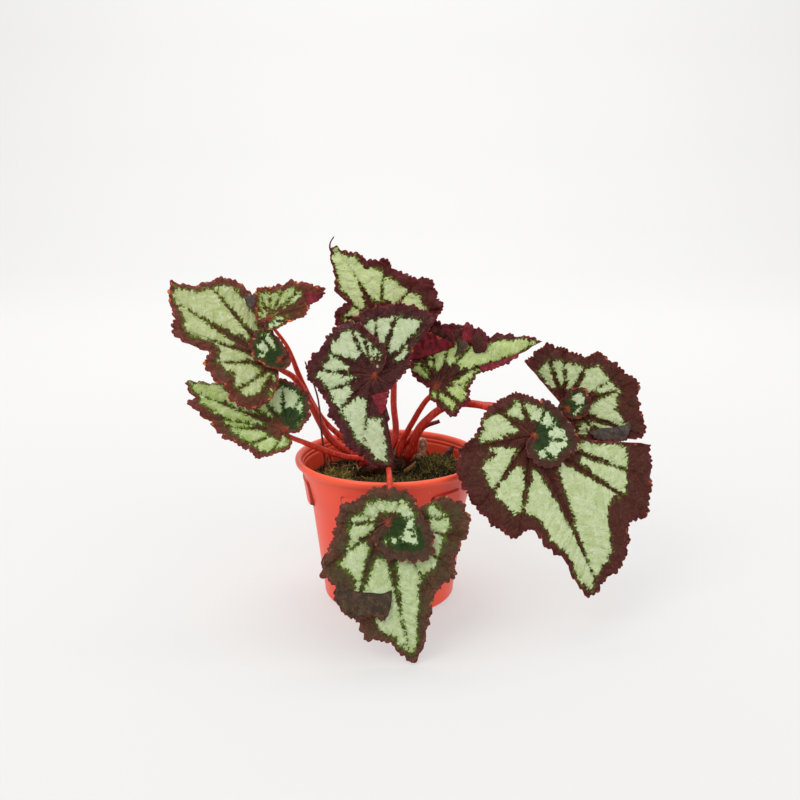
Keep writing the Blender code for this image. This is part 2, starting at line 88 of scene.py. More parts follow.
# Each blade: the joint with its stalk, the way that its upper face looks (azimuth, elevation), the
# drop of the spiral in one turn, the rise from the centre and the droop 50 mm out (degrees), the
# margin as (angle, reach) or (angle, reach, curl), and its marks:
# veins   (angle at the centre, angle at the margin, half width of the dark zone inside and outside),
# starts  how far from the centre the silver starts between one vein and the next,
# band    (angle, width) of the dark band along the margin,
# tone    what its faces look like, as in TONES.
LEAVES = {
    "right_large": {
        "at": (88.4, -35.0, 115.0), "face": (14.0, 29.0), "turn": 4.2, "rise": 6.0, "droop": 9.0,
        "margin": ((200, 5), (225, 10), (250, 15), (274, 20), (298, 22), (322, 24), (344, 27), (363, 26),
                   (384, 23.5), (403, 23), (423, 24.5), (440, 23), (459, 28), (483, 30), (511, 33),
                   (534, 37), (545, 47), (558, 54), (574, 56), (598, 61), (610, 62.5), (618, 55.5),
                   (628, 66), (635, 74), (638, 85), (642, 99), (650, 95), (659, 93), (668, 84.5),
                   (675, 78), (681, 85), (693, 81.5), (703, 79.5), (713, 78)),
        "veins": ((232, 232, 1.5, 1.0), (298, 298, 2.0, 1.2), (345, 345, 1.6, 1.2), (380, 380, 1.5, 1.0),
                  (418, 418, 1.6, 1.2), (462, 462, 3.5, 1.2), (498, 500, 6.0, 1.0), (547, 547, 8.0, 0.8),
                  (586, 585, 5.5, 0.4), (612, 613, 6.5, 0.8), (645, 647, 10.5, 0.2), (681, 683, 7.0, 0.8),
                  (697, 697, 5.0, 0.6)),
        "starts": (99, 7, 10, 9, 10, 10, 12, 12, 14, 22, 20, 24, 32, 28),
        "band": ((200, 4), (250, 5), (300, 5), (345, 6), (380, 7), (410, 6), (440, 4.5), (470, 6), (495, 9),
                 (505, 6), (520, 2), (538, 3), (548, 10), (560, 16), (580, 14), (600, 14), (615, 10),
                 (625, 8), (633, 5), (642, 3), (650, 7), (657, 10), (665, 14), (675, 18), (690, 17),
                 (713, 17)),
        "lobe": 430, "lobe_rim": 4.2, "tone": "maroon",
    },
    "front_hanging": {
        "at": (0.5, -80.0, 77.0), "face": (0.0, 18.0), "turn": 4.0, "rise": 6.0, "droop": 8.0,
        "margin": ((205, 6), (229, 12), (251, 15), (272, 19.5), (302, 24), (319, 29), (330, 29), (354, 23),
                   (374, 18.5), (392, 19), (408, 20), (422, 20), (448, 19.5), (464, 20.5), (491, 21),
                   (506, 22), (517, 26), (531, 29), (545, 30), (556, 33), (566, 39), (576, 46), (583, 46.5),
                   (589, 45), (596, 51), (604, 55), (612, 57), (619, 65), (630, 67), (636, 74), (641, 79),
                   (649, 65), (656, 56.5), (665, 47), (675, 47), (681, 47.5), (689, 44), (704, 43.5),
                   (721, 45.5), (732, 43.5), (740, 38.5), (746, 36)),
        "veins": ((225, 225, 2.0, 1.0), (250, 250, 2.0, 1.2), (277, 277, 1.8, 1.2), (303, 305, 1.8, 1.0),
                  (340, 342, 1.2, 0.7), (372, 372, 1.2, 0.7), (418, 420, 0.3, 0.0), (457, 457, -1.0, -1.0),
                  (492, 495, -0.6, -0.6), (524, 528, -0.5, -0.3), (541, 543, 2.2, 0.7), (574, 577, 2.0, 0.5),
                  (602, 611, 6.5, 1.3), (635, 640, 5.5, 0.2), (662, 663, 2.0, 0.6), (684, 684, 1.5, 0.5),
                  (707, 708, 1.2, 0.5), (724, 725, 1.2, 0.5)),
        "starts": (99, 99, 10, 9, 11, 11, 9, 6, 7, 8, 8, 8, 18, 21, 21, 22, 24, 24, 24),
        "band": ((205, 3), (250, 5), (275, 6.5), (300, 9), (330, 9), (350, 7), (375, 4), (410, 5), (440, 7.5),
                 (470, 7), (500, 6), (520, 8), (540, 8), (552, 8), (562, 9), (572, 10), (590, 11),
                 (605, 11), (618, 12), (624, 9), (629, 4), (640, 3.5), (646, 6), (652, 9), (662, 12),
                 (675, 11), (690, 10), (705, 11), (720, 11), (735, 9), (746, 6)),
        "lobe": 390, "lobe_rim": 4.4, "tone": "olive",
    },
    "crown_front": {
        "at": (-8.0, -25.0, 149.6), "face": (0.0, 21.0), "turn": 4.0, "rise": 5.0, "droop": 7.0,
        "margin": ((30, 5), (50, 9), (60, 15), (72, 20), (86, 22), (97, 27), (106, 32), (113, 36), (124, 37),
                   (137, 37.5), (150, 36), (160, 38.5), (172, 41.5), (182, 40.5), (191, 36), (204, 33),
                   (216, 34), (227, 37), (237, 39), (245, 44), (254, 47.5), (261, 49.5), (267, 54), (273, 55.5),
                   (280, 56), (282, 50), (282.5, 44), (283, 37.5), (283.6, 31), (285, 25), (288, 20), (295, 15.5),
                   (314, 13), (338, 13), (358, 16), (372, 21),
                   (386, 23), (394, 29), (399, 41), (405, 51), (416, 50.5), (429, 47.5), (447, 43),
                   (458, 40.5), (470, 37.5)),
        "veins": ((60, 60, 1.5, 1.0), (82, 80, 1.5, 1.0), (94, 93, 1.2, 0.8), (108, 106, 1.5, 0.8),
                  (121, 117, 2.0, 1.0), (152, 154, 5.5, 0.8), (175, 175, 4.0, 0.5), (198, 198, 4.0, 0.5),
                  (225, 225, 5.0, 0.6), (257, 262, 3.5, 0.2), (285, 300, 3.0, 0.5), (330, 330, 6.0, 3.0),
                  (385, 388, 4.5, 2.0), (405, 407, 3.5, 0.5), (430, 431, 4.0, 0.8), (450, 449, 3.0, 0.5)),
        "starts": (99, 6, 9, 9, 14, 15, 17, 12, 17, 16, 27, 99, 99, 16, 17, 16, 24),
        "band": ((30, 3), (60, 4), (85, 4), (100, 5), (120, 6), (135, 5), (150, 4), (158, 8), (172, 9),
                 (182, 5), (200, 5), (215, 4), (228, 7), (245, 7), (258, 7), (266, 6), (274, 4.5), (279, 4.5), (283, 5.5), (288, 5),
                 (300, 4), (340, 5), (380, 4), (396, 3), (405, 6), (420, 8), (435, 8), (448, 7), (470, 7)),
        "lobe": 75, "lobe_rim": 4.0, "tone": "plum",
    },
    "crown_back": {
        "at": (-7.0, 25.0, 174.0), "face": (0.0, 8.0), "turn": 3.5, "rise": 5.0, "droop": 6.0,
        "margin": ((-150, 5), (-120, 12), (-90, 18), (-60, 22), (-30, 26), (-5, 34), (14, 44), (20, 42),
                   (35, 43.5), (44, 42), (52, 36.5), (60, 36.5), (70, 36.7), (76, 37.7), (82, 40), (89, 40.5),
                   (96, 40.4), (104, 44), (108, 48.3), (114, 49.6), (117, 53), (122.5, 58), (126, 52),
                   (130, 45.8), (135, 40.2), (142, 35.5), (145, 30), (148, 24.5),
                   (158, 27.5), (170, 28.7), (180, 28.2), (190, 25), (215, 22), (240, 17)),
        "veins": ((-120, -120, 2.0, 1.0), (-90, -90, 2.0, 1.0), (-58, -58, 2.5, 1.0), (-25, -25, 3.0, 1.0),
                  (12, 12, 2.0, 0.8), (45, 45, 1.6, 0.6), (81, 84, 3.0, 0.2), (110, 121, 6.5, -1.6),
                  (147, 147, 2.0, 0.8), (172, 172, 3.0, 1.0), (205, 205, 2.5, 1.0)),
        "starts": (99, 9, 9, 10, 12, 15, 16, 14, 14, 12, 10, 10),
        "band": ((-150, 3), (-90, 5), (-30, 6), (5, 8), (20, 10), (35, 11), (50, 9), (65, 8), (80, 6.5),
                 (95, 6), (108, 4.5), (116, 2.5), (124, 1.5), (132, 3), (142, 4.5), (155, 6), (180, 6), (240, 4)),
        "lobe": -60, "lobe_rim": 3.0, "tone": "lime",
    },
    "middle_right": {
        "at": (29.6, -6.0, 139.0), "face": (-11.0, 25.0), "turn": 3.2, "rise": 6.0, "droop": 4.0,
        "margin": ((190, 4), (235, 7), (278, 12), (292, 18), (303, 23.5), (319, 22), (341, 23), (357, 21.5),
                   (370, 23.5), (380, 32), (382, 47), (383.5, 60), (385, 71), (392, 62), (401, 53), (405, 45),
                   (413, 44), (424, 44), (433, 42), (446, 40, 50), (460, 42, 90), (474, 40, 100),
                   (488, 34, 90), (498, 25, 40), (519, 16), (531, 9), (550, 6)),
        "veins": ((235, 235, 1.5, 1.0), (285, 284, 2.0, 1.0), (327, 327, 2.5, 1.2), (364, 362, 2.5, 0.8),
                  (392, 383.5, 5.0, 0.5), (414, 413, 2.2, 0.8), (437, 437, 1.2, 0.6), (460, 462, 1.3, 0.8),
                  (477, 478, 0.9, 0.6), (489, 489, 0.9, 0.6), (510, 510, 1.2, 0.8)),
        "starts": (99, 4, 6, 7, 10, 20, 17, 10, 7, 7, 8, 99),
        "band": ((190, 2), (240, 2), (280, 3), (300, 4.5), (330, 3.5), (355, 3), (372, 2.5), (382, 2), (386, 2),
                 (395, 4), (402, 6), (412, 11), (425, 12), (440, 12), (460, 13), (478, 11), (490, 6), (500, 3),
                 (515, 2), (550, 1)),
        "lobe": 150, "lobe_rim": 2.0, "tone": "shaded",
    },
    "far_right": {
        "at": (115.0, 5.0, 121.6), "face": (2.0, 21.0), "turn": 3.2, "rise": 5.0, "droop": 4.0,
        "margin": ((225, 4), (270, 6), (313, 9), (351, 14), (384, 16.5), (402, 17), (424, 15.5), (440, 11.5), (456, 8),
                   (490, 6.5), (530, 6), (570, 6), (610, 9), (640, 19), (668, 30, 40), (688, 40, 50), (700, 52),
                   (713, 50), (725, 47.5), (741, 50), (751, 46), (769, 43.5), (778, 44.5), (785, 38),
                   (800, 38), (812, 40), (826, 43.5), (840, 41.5), (850, 40)),
        "veins": ((270, 270, 1.0, 0.8), (330, 330, 1.5, 0.8), (372, 372, 1.5, 0.8), (425, 425, 1.5, 0.8),
                  (480, 480, 1.5, 0.8), (560, 560, 1.5, 0.8), (625, 625, 3.0, 1.0), (655, 655, 4.0, 1.0),
                  (685, 685, 3.0, 1.0), (700, 699, 3.5, 1.2), (740, 740, 5.0, 0.6), (752, 752, 3.0, 0.5),
                  (784, 783, 4.5, 1.2), (811, 810, 3.5, 0.4), (828, 827, 3.5, 1.2)),
        "starts": (99, 5, 6, 7, 7, 5, 5, 9, 14, 16, 15, 24, 15, 13, 16, 17),
        "band": ((225, 2), (313, 3), (350, 4), (400, 5), (455, 4), (530, 3), (610, 3), (650, 4), (668, 7),
                 (680, 11), (692, 8), (700, 7), (708, 13), (718, 16), (730, 14), (745, 11), (760, 9),
                 (778, 8), (790, 7), (805, 8), (820, 10), (850, 9)),
        "lobe": 560, "lobe_rim": 2.6, "tone": "maroon",
    },
    "left_high": {
        "at": (-66.0, -15.0, 157.0), "face": (18.6, 30.0), "turn": 3.6, "rise": 5.0, "droop": 6.0,
        "margin": ((37, 6), (77, 11), (95, 18), (113, 22), (139, 21), (160, 18), (185, 11), (220, 7),
                   (260, 6), (300, 6), (340, 7), (380, 8), (410, 9), (432, 11), (447, 13), (458, 20), (463, 40),
                   (468, 56), (476, 63.5), (484, 67), (491, 71), (496, 79.5), (500, 80), (510, 69), (517, 67),
                   (522, 61), (525, 50), (530, 42), (536, 45.5), (548, 42), (563, 37), (577, 38.5),
                   (585, 38), (595, 34.5), (604, 29), (611, 22), (617, 14)),
        "veins": ((95, 95, 1.5, 0.8), (120, 120, 2.0, 0.8), (150, 150, 2.0, 0.8), (190, 190, 1.5, 0.8),
                  (300, 300, 1.0, 0.8), (400, 400, 1.2, 0.8), (450, 452, 2.0, 0.8), (489, 484, 4.5, 0.8),
                  (508, 503, 6.5, 0.5), (518, 517, 2.0, 0.5), (536, 537, 3.2, 0.6),
                  (570, 571, 2.8, 0.8), (600, 600, 1.5, 0.6)),
        "starts": (99, 8, 10, 10, 99, 99, 8, 20, 24, 30, 16, 14, 9, 6),
        "band": ((37, 2), (95, 3), (120, 4), (150, 4), (200, 2.5), (350, 2), (430, 3), (458, 5), (470, 6),
                 (482, 6), (492, 5), (500, 3), (508, 5), (514, 7), (522, 7), (530, 6), (540, 9), (550, 10),
                 (562, 7), (575, 7), (590, 9), (600, 9), (608, 4), (617, 2)),
        "lobe": 330, "lobe_rim": 1.2, "tone": "russet",
    },
    "left_small": {
        "at": (-72.3, -10.0, 182.2), "face": (10.0, 22.0), "turn": 3.0, "rise": 6.0, "droop": 0.0,
        "margin": ((-150, 4), (-110, 7), (-70, 8), (-35, 9), (-10, 14), (2, 21), (10, 25), (19, 28, 30),
                   (25, 38, 40), (32, 35, 30), (46, 30), (64, 24), (80, 20), (96, 18), (112, 20), (130, 14),
                   (149, 9), (175, 8), (205, 7)),
        "veins": ((-100, -100, 1.0, 0.6), (-60, -60, 1.0, 0.6), (-20, -20, 1.2, 0.6), (14, 14, 1.5, 0.8),
                  (42, 41, 2.0, 0.8), (62, 63, 1.5, 0.7), (86, 86, 1.5, 0.7), (108, 108, 1.5, 0.7),
                  (136, 136, 1.5, 0.7), (165, 165, 1.0, 0.6)),
        "starts": (99, 2, 2, 3, 4, 4, 3, 3, 3, 3, 3),
        "band": ((-150, 1), (-60, 1.5), (-20, 2.5), (0, 4), (12, 8), (25, 13), (35, 8), (50, 5), (70, 4.5),
                 (90, 4), (110, 3.5), (130, 3), (150, 2), (205, 1)),
        "lobe": -5, "lobe_rim": 0.8, "tone": "scorched",
    },
    "left_low": {
        "at": (-63.0, -25.0, 117.0), "face": (-5.0, 45.0), "turn": 3.4, "rise": 6.0, "droop": 8.0,
        "margin": ((-60, 5), (-30, 7), (25, 14), (47, 22), (58, 24), (71, 28), (85, 32), (96, 35), (108, 34),
                   (122, 38), (138, 50), (149, 64), (154, 76), (160, 65), (166, 65), (170, 57), (175, 46),
                   (181, 44), (188, 39), (201, 32), (218, 25.5), (232, 24.5), (243, 23), (258, 18.5),
                   (279, 15), (296, 11.5), (312, 8)),
        "veins": ((-10, -10, 1.0, 0.8), (35, 35, 1.5, 0.8), (72, 72, 1.5, 0.8), (100, 102, 2.0, 0.8),
                  (128, 130, 3.0, 1.0), (148, 147, 3.0, 0.5), (157, 158.5, 4.0, 0.5), (173, 172, 2.5, 0.4),
                  (181, 180, 3.0, 0.6), (209, 209, 2.2, 0.5), (249, 249, 1.8, 0.5), (285, 285, 1.2, 0.6)),
        "starts": (99, 8, 14, 15, 12, 13, 20, 15, 19, 12, 9, 6, 5),
        "band": ((-60, 2), (25, 4), (60, 5), (85, 5), (110, 5), (130, 4), (145, 3.5), (153, 2), (158, 3),
                 (163, 7), (172, 7), (180, 7), (190, 6), (205, 5), (230, 5), (250, 4), (280, 3), (312, 2)),
        "lobe": 122, "lobe_rim": 2.2, "tone": "fern",
    },
}

# Each fold of a blade over its own face: the blade, the finish, how far it lifts at its fold and at its
# rim, its bulge, and the two lines as (angle, radius) on the blade.
FOLDS = {
    "lobe_turned_up": ("middle_right", "red", 0.4, 3.2, 1.5,
                       ((501, 24.4), (486, 21.2), (465, 19.9), (445, 22.0), (429, 26.8)),
                       ((494, 28.5), (484, 31), (474, 31.5), (461, 34), (448, 30.5), (429, 28.5))),
    "lobe_behind": ("middle_right", "face", 1.0, 4.0, 1.0,
                    ((463, 30.0), (451, 28.0), (440, 27.5), (428, 26.5)),
                    ((460, 38.2), (449, 38.0), (439, 35.5), (428, 31.0))),
    # A real fold, coloured near-black as painted shade down in the funnel.
    "funnel_shade_fold": ("middle_right", "smoky", 0.5, 1.6, 0.6,
                    ((421, 21.5), (424, 27.2), (429, 31.5)), ((414, 24.0), (413, 30.9), (418, 35.5))),
    "tall_lobe_back": ("middle_right", "red", 0.8, 2.4, 0.8,
                       ((421, 31.0), (417, 33.5), (412, 34.5)), ((431, 42.5), (425, 43.8), (417, 44.0))),
    "tall_lobe_face": ("middle_right", "face", 1.2, 3.0, 1.4,
                       ((413, 34.5), (405, 31.8), (401, 32.5), (397, 36.6)),
                       ((419, 43.4), (414, 45.0), (406, 43.6), (399, 40.8))),
    "edge_turned_up": ("middle_right", "red", 0.3, 1.2, 0.7,
                       ((386, 30.0), (385.5, 35.5), (384, 41.0), (383.5, 48.0), (384, 56.0)),
                       ((378, 28.0), (377.5, 34.5), (378, 41.0), (379.5, 48.0), (383, 57.0))),
    "edge_turned_in": ("far_right", "slate", 0.6, 2.6, 1.6,
                       ((672, 20.3), (688, 24.6), (696, 31.0), (701, 35.9), (706, 41.5)),
                       ((668, 22.5), (673, 27.8), (678, 33.4), (685, 38.8), (694, 43.3))),
    "waist_turned_back": ("crown_front", "red", 0.2, 1.2, 0.8,
                          ((262, 12.4), (271, 17.3), (277, 23.3)), ((314, 12.3), (299, 15.4), (283, 24.6))),
    "tip_turned_over": ("left_small", "red", 0.4, 1.8, 0.9,
                        ((42, 27.9), (32, 25.6), (17, 24.2)), ((25, 38.6), (19, 34.2), (14, 28.4))),
    "end_turned_over": ("left_small", "slate", 0.3, 1.6, 0.8,
                        ((136, 20.5), (143, 17.3), (153, 12.9)), ((125, 19.5), (124, 14.5), (138, 10.2))),
    "lobe_over_tip": ("front_hanging", "smoky", 0.3, 2.6, 1.3,
                      ((589, 42.0), (600, 42.3), (608, 41.4), (616, 39.9), (625, 39.4), (633, 37.5)),
                      ((593, 49.8), (604, 55.0), (613, 55.4), (621, 51.5), (627, 53.5), (633, 46.0))),
}

FOLD_TONES = {
    "red": ((82, 16, 26), (134, 34, 44), (64, 12, 20)),
    # slate: dark turned-over leaf, its grey-blue colour partly a painted sheen.
    "slate": ((44, 38, 34), (84, 72, 66), (96, 36, 36)),
    "smoky": ((40, 36, 26), (82, 60, 44), (118, 38, 36)),
}

# Face colours, 0 to 255: silver, the flecks in it, the ground beside it, the ground at the margin,
# the seam of fresh green round the silver; then how green the ground is and how scorched the margin.
TONES = {
    "maroon": ((186, 198, 152), (144, 166, 98), (70, 32, 24), (78, 32, 28), (84, 104, 24), 0.15, 0.25),
    "olive": ((182, 196, 150), (140, 162, 90), (74, 46, 26), (92, 58, 46), (84, 108, 22), 0.75, 0.20),
    "plum": ((188, 199, 162), (148, 170, 116), (62, 28, 26), (72, 28, 32), (74, 96, 30), 0.10, 0.05),
    "lime": ((200, 212, 156), (164, 190, 100), (76, 30, 26), (88, 30, 34), (96, 126, 28), 0.15, 0.05),
    "shaded": ((180, 196, 128), (136, 166, 66), (62, 32, 24), (88, 26, 34), (90, 118, 24), 0.20, 0.05),
    "russet": ((176, 184, 132), (138, 154, 84), (86, 46, 28), (104, 48, 40), (96, 116, 22), 0.45, 0.45),
    "fern": ((172, 188, 120), (116, 150, 54), (88, 46, 28), (104, 46, 38), (84, 118, 20), 0.50, 0.45),
    "scorched": ((178, 190, 132), (134, 158, 80), (88, 48, 30), (112, 50, 38), (102, 124, 26), 0.40, 0.7),
}

# Each stalk: its leaf, the x on the rhizome where it grows, the way it leaves, the points that it
# passes through, and its radii at the rhizome and under the blade.
STALKS = {
    "stalk_left_high": ("left_high", -13.5, (-0.45, -0.25, 0.86),
                        ((-24.0, 4.0, 92.6), (-34.9, 5.0, 98.6), (-50.2, 8.0, 123.0), (-60.0, 6.0, 141.0)),
                        (2.4, 1.7)),
    "stalk_left_low": ("left_low", -18.5, (-0.35, -0.75, 0.55),
                       ((-28.3, -7.5, 93.0), (-43.5, -12.0, 100.0), (-52.6, -16.0, 105.0)), (1.9, 1.4)),
    "stalk_left_small": ("left_small", -12.0, (-0.30, 0.60, 0.70),
                         ((-25.0, 14.0, 95.0), (-41.7, 17.0, 109.0), (-57.0, 17.0, 137.0),
                          (-64.5, 11.0, 160.0)), (1.8, 1.1)),
    "stalk_crown_front": ("crown_front", -6.5, (0.00, -0.45, 0.89),
                          ((-7.0, 0.0, 106.0), (-8.0, -9.0, 134.0)), (2.1, 1.6)),
    "stalk_crown_back": ("crown_back", 1.0, (0.10, 0.25, 0.97),
                         ((2.6, 12.0, 95.7), (2.9, 22.0, 122.0), (2.9, 27.0, 135.0), (0.0, 33.0, 155.0)),
                         (2.1, 1.5)),
    "stalk_middle_right": ("middle_right", 6.0, (0.25, -0.05, 0.97),
                           ((9.2, 11.0, 98.5), (16.3, 10.5, 112.5), (23.3, 8.0, 125.0)), (1.9, 1.5)),
    "stalk_right_large": ("right_large", 10.0, (0.50, -0.55, 0.67),
                          ((20.2, 6.0, 108.0), (32.9, 6.0, 120.5), (42.3, 3.0, 125.2), (51.4, -3.0, 126.7),
                           (61.5, -10.0, 126.5), (75.0, -19.0, 122.0)), (2.5, 2.0)),
    "stalk_far_right": ("far_right", 11.5, (0.10, 0.60, 0.80),
                        ((14.6, 20.0, 97.0), (21.5, 20.0, 107.5), (35.0, 20.0, 117.5), (60.0, 19.0, 121.0),
                         (88.0, 19.0, 117.5)),
                        (1.8, 1.4)),
    "stalk_front_hanging": ("front_hanging", -4.0, (0.10, -0.90, 0.42),
                            ((0.0, -20.0, 88.5), (0.6, -48.0, 97.0), (1.2, -62.0, 96.5), (1.2, -68.0, 88.0)),
                            (1.6, 1.8)),
}

# Each clump of moss: centre (x, y), radii (x, y, height), seed, and how yellow it is.
MOSS = {
    "moss_left": ((-33.0, -14.0), (10.5, 13.0, 6.0), 1, 0.9),
    "moss_front": ((2.0, -31.0), (22.0, 13.0, 6.5), 2, 0.35),
    "moss_right": ((33.0, 6.0), (14.0, 17.0, 9.5), 3, 0.25),
    "moss_back": ((-10.0, 31.0), (20.0, 12.0, 8.0), 4, 0.3),
}


# Shader maths and node making.

def paint(red, green, blue):
    """A node colour from screen values of 0 to 255."""
    parts = [value / 255.0 for value in (red, green, blue)]
    return (*[part / 12.92 if part <= 0.04045 else ((part + 0.055) / 1.055) ** 2.4 for part in parts], 1.0)


class Flow:
    """A node's output, so that sums on it add Math nodes."""

    def __init__(self, look, socket):
        self.look = look
        self.socket = socket

    def maths(self, operation, *terms, clamp=False):
        sockets = dict(enumerate(terms))
        made = self.look.node("ShaderNodeMath", {"operation": operation, "use_clamp": clamp}, sockets)
        return Flow(self.look, made.outputs[0])

    def __add__(self, other):
        return self.maths("ADD", self, other)

    def __radd__(self, other):
        return self.maths("ADD", other, self)

    def __sub__(self, other):
        return self.maths("SUBTRACT", self, other)

    def __rsub__(self, other):
        return self.maths("SUBTRACT", other, self)

    def __mul__(self, other):
        return self.maths("MULTIPLY", self, other)

    def __rmul__(self, other):
        return self.maths("MULTIPLY", other, self)

    def __truediv__(self, other):
        return self.maths("DIVIDE", self, other)

    def __abs__(self):
        return self.maths("ABSOLUTE", self)

    def part(self):
        """What is left after the whole number."""
        return self.maths("FRACT", self)

    def most(self, other):
        return self.maths("MAXIMUM", self, other)

    def kept(self):
        """Held between 0 and 1."""
        return self.maths("ADD", self, 0.0, clamp=True)

    def rise(self, low, high):
        """0 below low, 1 above high, smooth between; high may be the lower one."""
        made = self.look.node("ShaderNodeMapRange", {"interpolation_type": "SMOOTHSTEP"},
                              {"Value": self, "From Min": low, "From Max": high, "To Min": 0.0, "To Max": 1.0})
        return Flow(self.look, made.outputs[0])


class Look:
    """A material, with one way of making its nodes."""

    def __init__(self, name, roughness=0.5):
        self.material = bpy.data.materials.new(name)
        self.material.use_nodes = True
        self.tree = self.material.node_tree
        self.shader = self.tree.nodes["Principled BSDF"]
        self.shader.inputs["Roughness"].default_value = roughness
        self.spot = Flow(self, self.node("ShaderNodeTexCoord").outputs["Object"])

    def feed(self, socket, value):
        """Link or set a socket."""
        if isinstance(value, Flow):
            self.tree.links.new(value.socket, socket)
        else:
            socket.default_value = value

    def node(self, kind, settings=None, sockets=None):
        """A node of a type: its settings, then the values or links of its sockets."""
        made = self.tree.nodes.new(kind)
        for name, value in (settings or {}).items():
            setattr(made, name, value)
        for name, value in (sockets or {}).items():
            self.feed(made.inputs[name], value)
        return made

    def noise(self, scale, detail=2.0, rough=0.55, twist=0.0, spot=None):
        """Cloudy noise; the scale is in spots a metre."""
        made = self.node("ShaderNodeTexNoise", {"noise_dimensions": "3D"},
                         {"Vector": spot or self.spot, "Scale": scale, "Detail": detail, "Roughness": rough,
                          "Distortion": twist})
        return Flow(self, made.outputs[0])

    def cells(self, scale, feature="F1", spot=None):
        """Distance to the nearest of scattered points."""
        made = self.node("ShaderNodeTexVoronoi", {"feature": feature, "voronoi_dimensions": "3D"},
                         {"Vector": spot or self.spot, "Scale": scale})
        return Flow(self, made.outputs["Distance"])

    def stretched(self, scale):
        """The object position, stretched by three factors."""
        made = self.node("ShaderNodeMapping", {"vector_type": "POINT"}, {"Vector": self.spot, "Scale": scale})
        return Flow(self, made.outputs[0])

    def field(self, name):
        """A number that the piece carries at its points."""
        made = self.node("ShaderNodeAttribute", {"attribute_type": "GEOMETRY", "attribute_name": name})
        return Flow(self, made.outputs["Fac"])

    def height(self):
        """Height above the floor in metres."""
        made = self.node("ShaderNodeSeparateXYZ", None, {0: self.spot})
        return Flow(self, made.outputs["Z"])

    def colour(self, mask, low, high):
        """The low colour where the mask is 0, the high one where it is 1."""
        made = self.node("ShaderNodeMix", {"data_type": "RGBA", "clamp_factor": True}, {0: mask, 6: low, 7: high})
        return Flow(self, made.outputs[2])

    def finish(self, colour, roughness=None, relief=None, depth=0.0003, strength=0.6):
        """Feeds the shader and returns the material."""
        self.feed(self.shader.inputs["Base Color"], colour)
        if roughness is not None:
            self.feed(self.shader.inputs["Roughness"], roughness)
        if relief is not None:
            bump = self.node("ShaderNodeBump", None, {"Height": relief, "Distance": depth, "Strength": strength})
            self.tree.links.new(bump.outputs[0], self.shader.inputs["Normal"])
        return self.material


# Finishes.

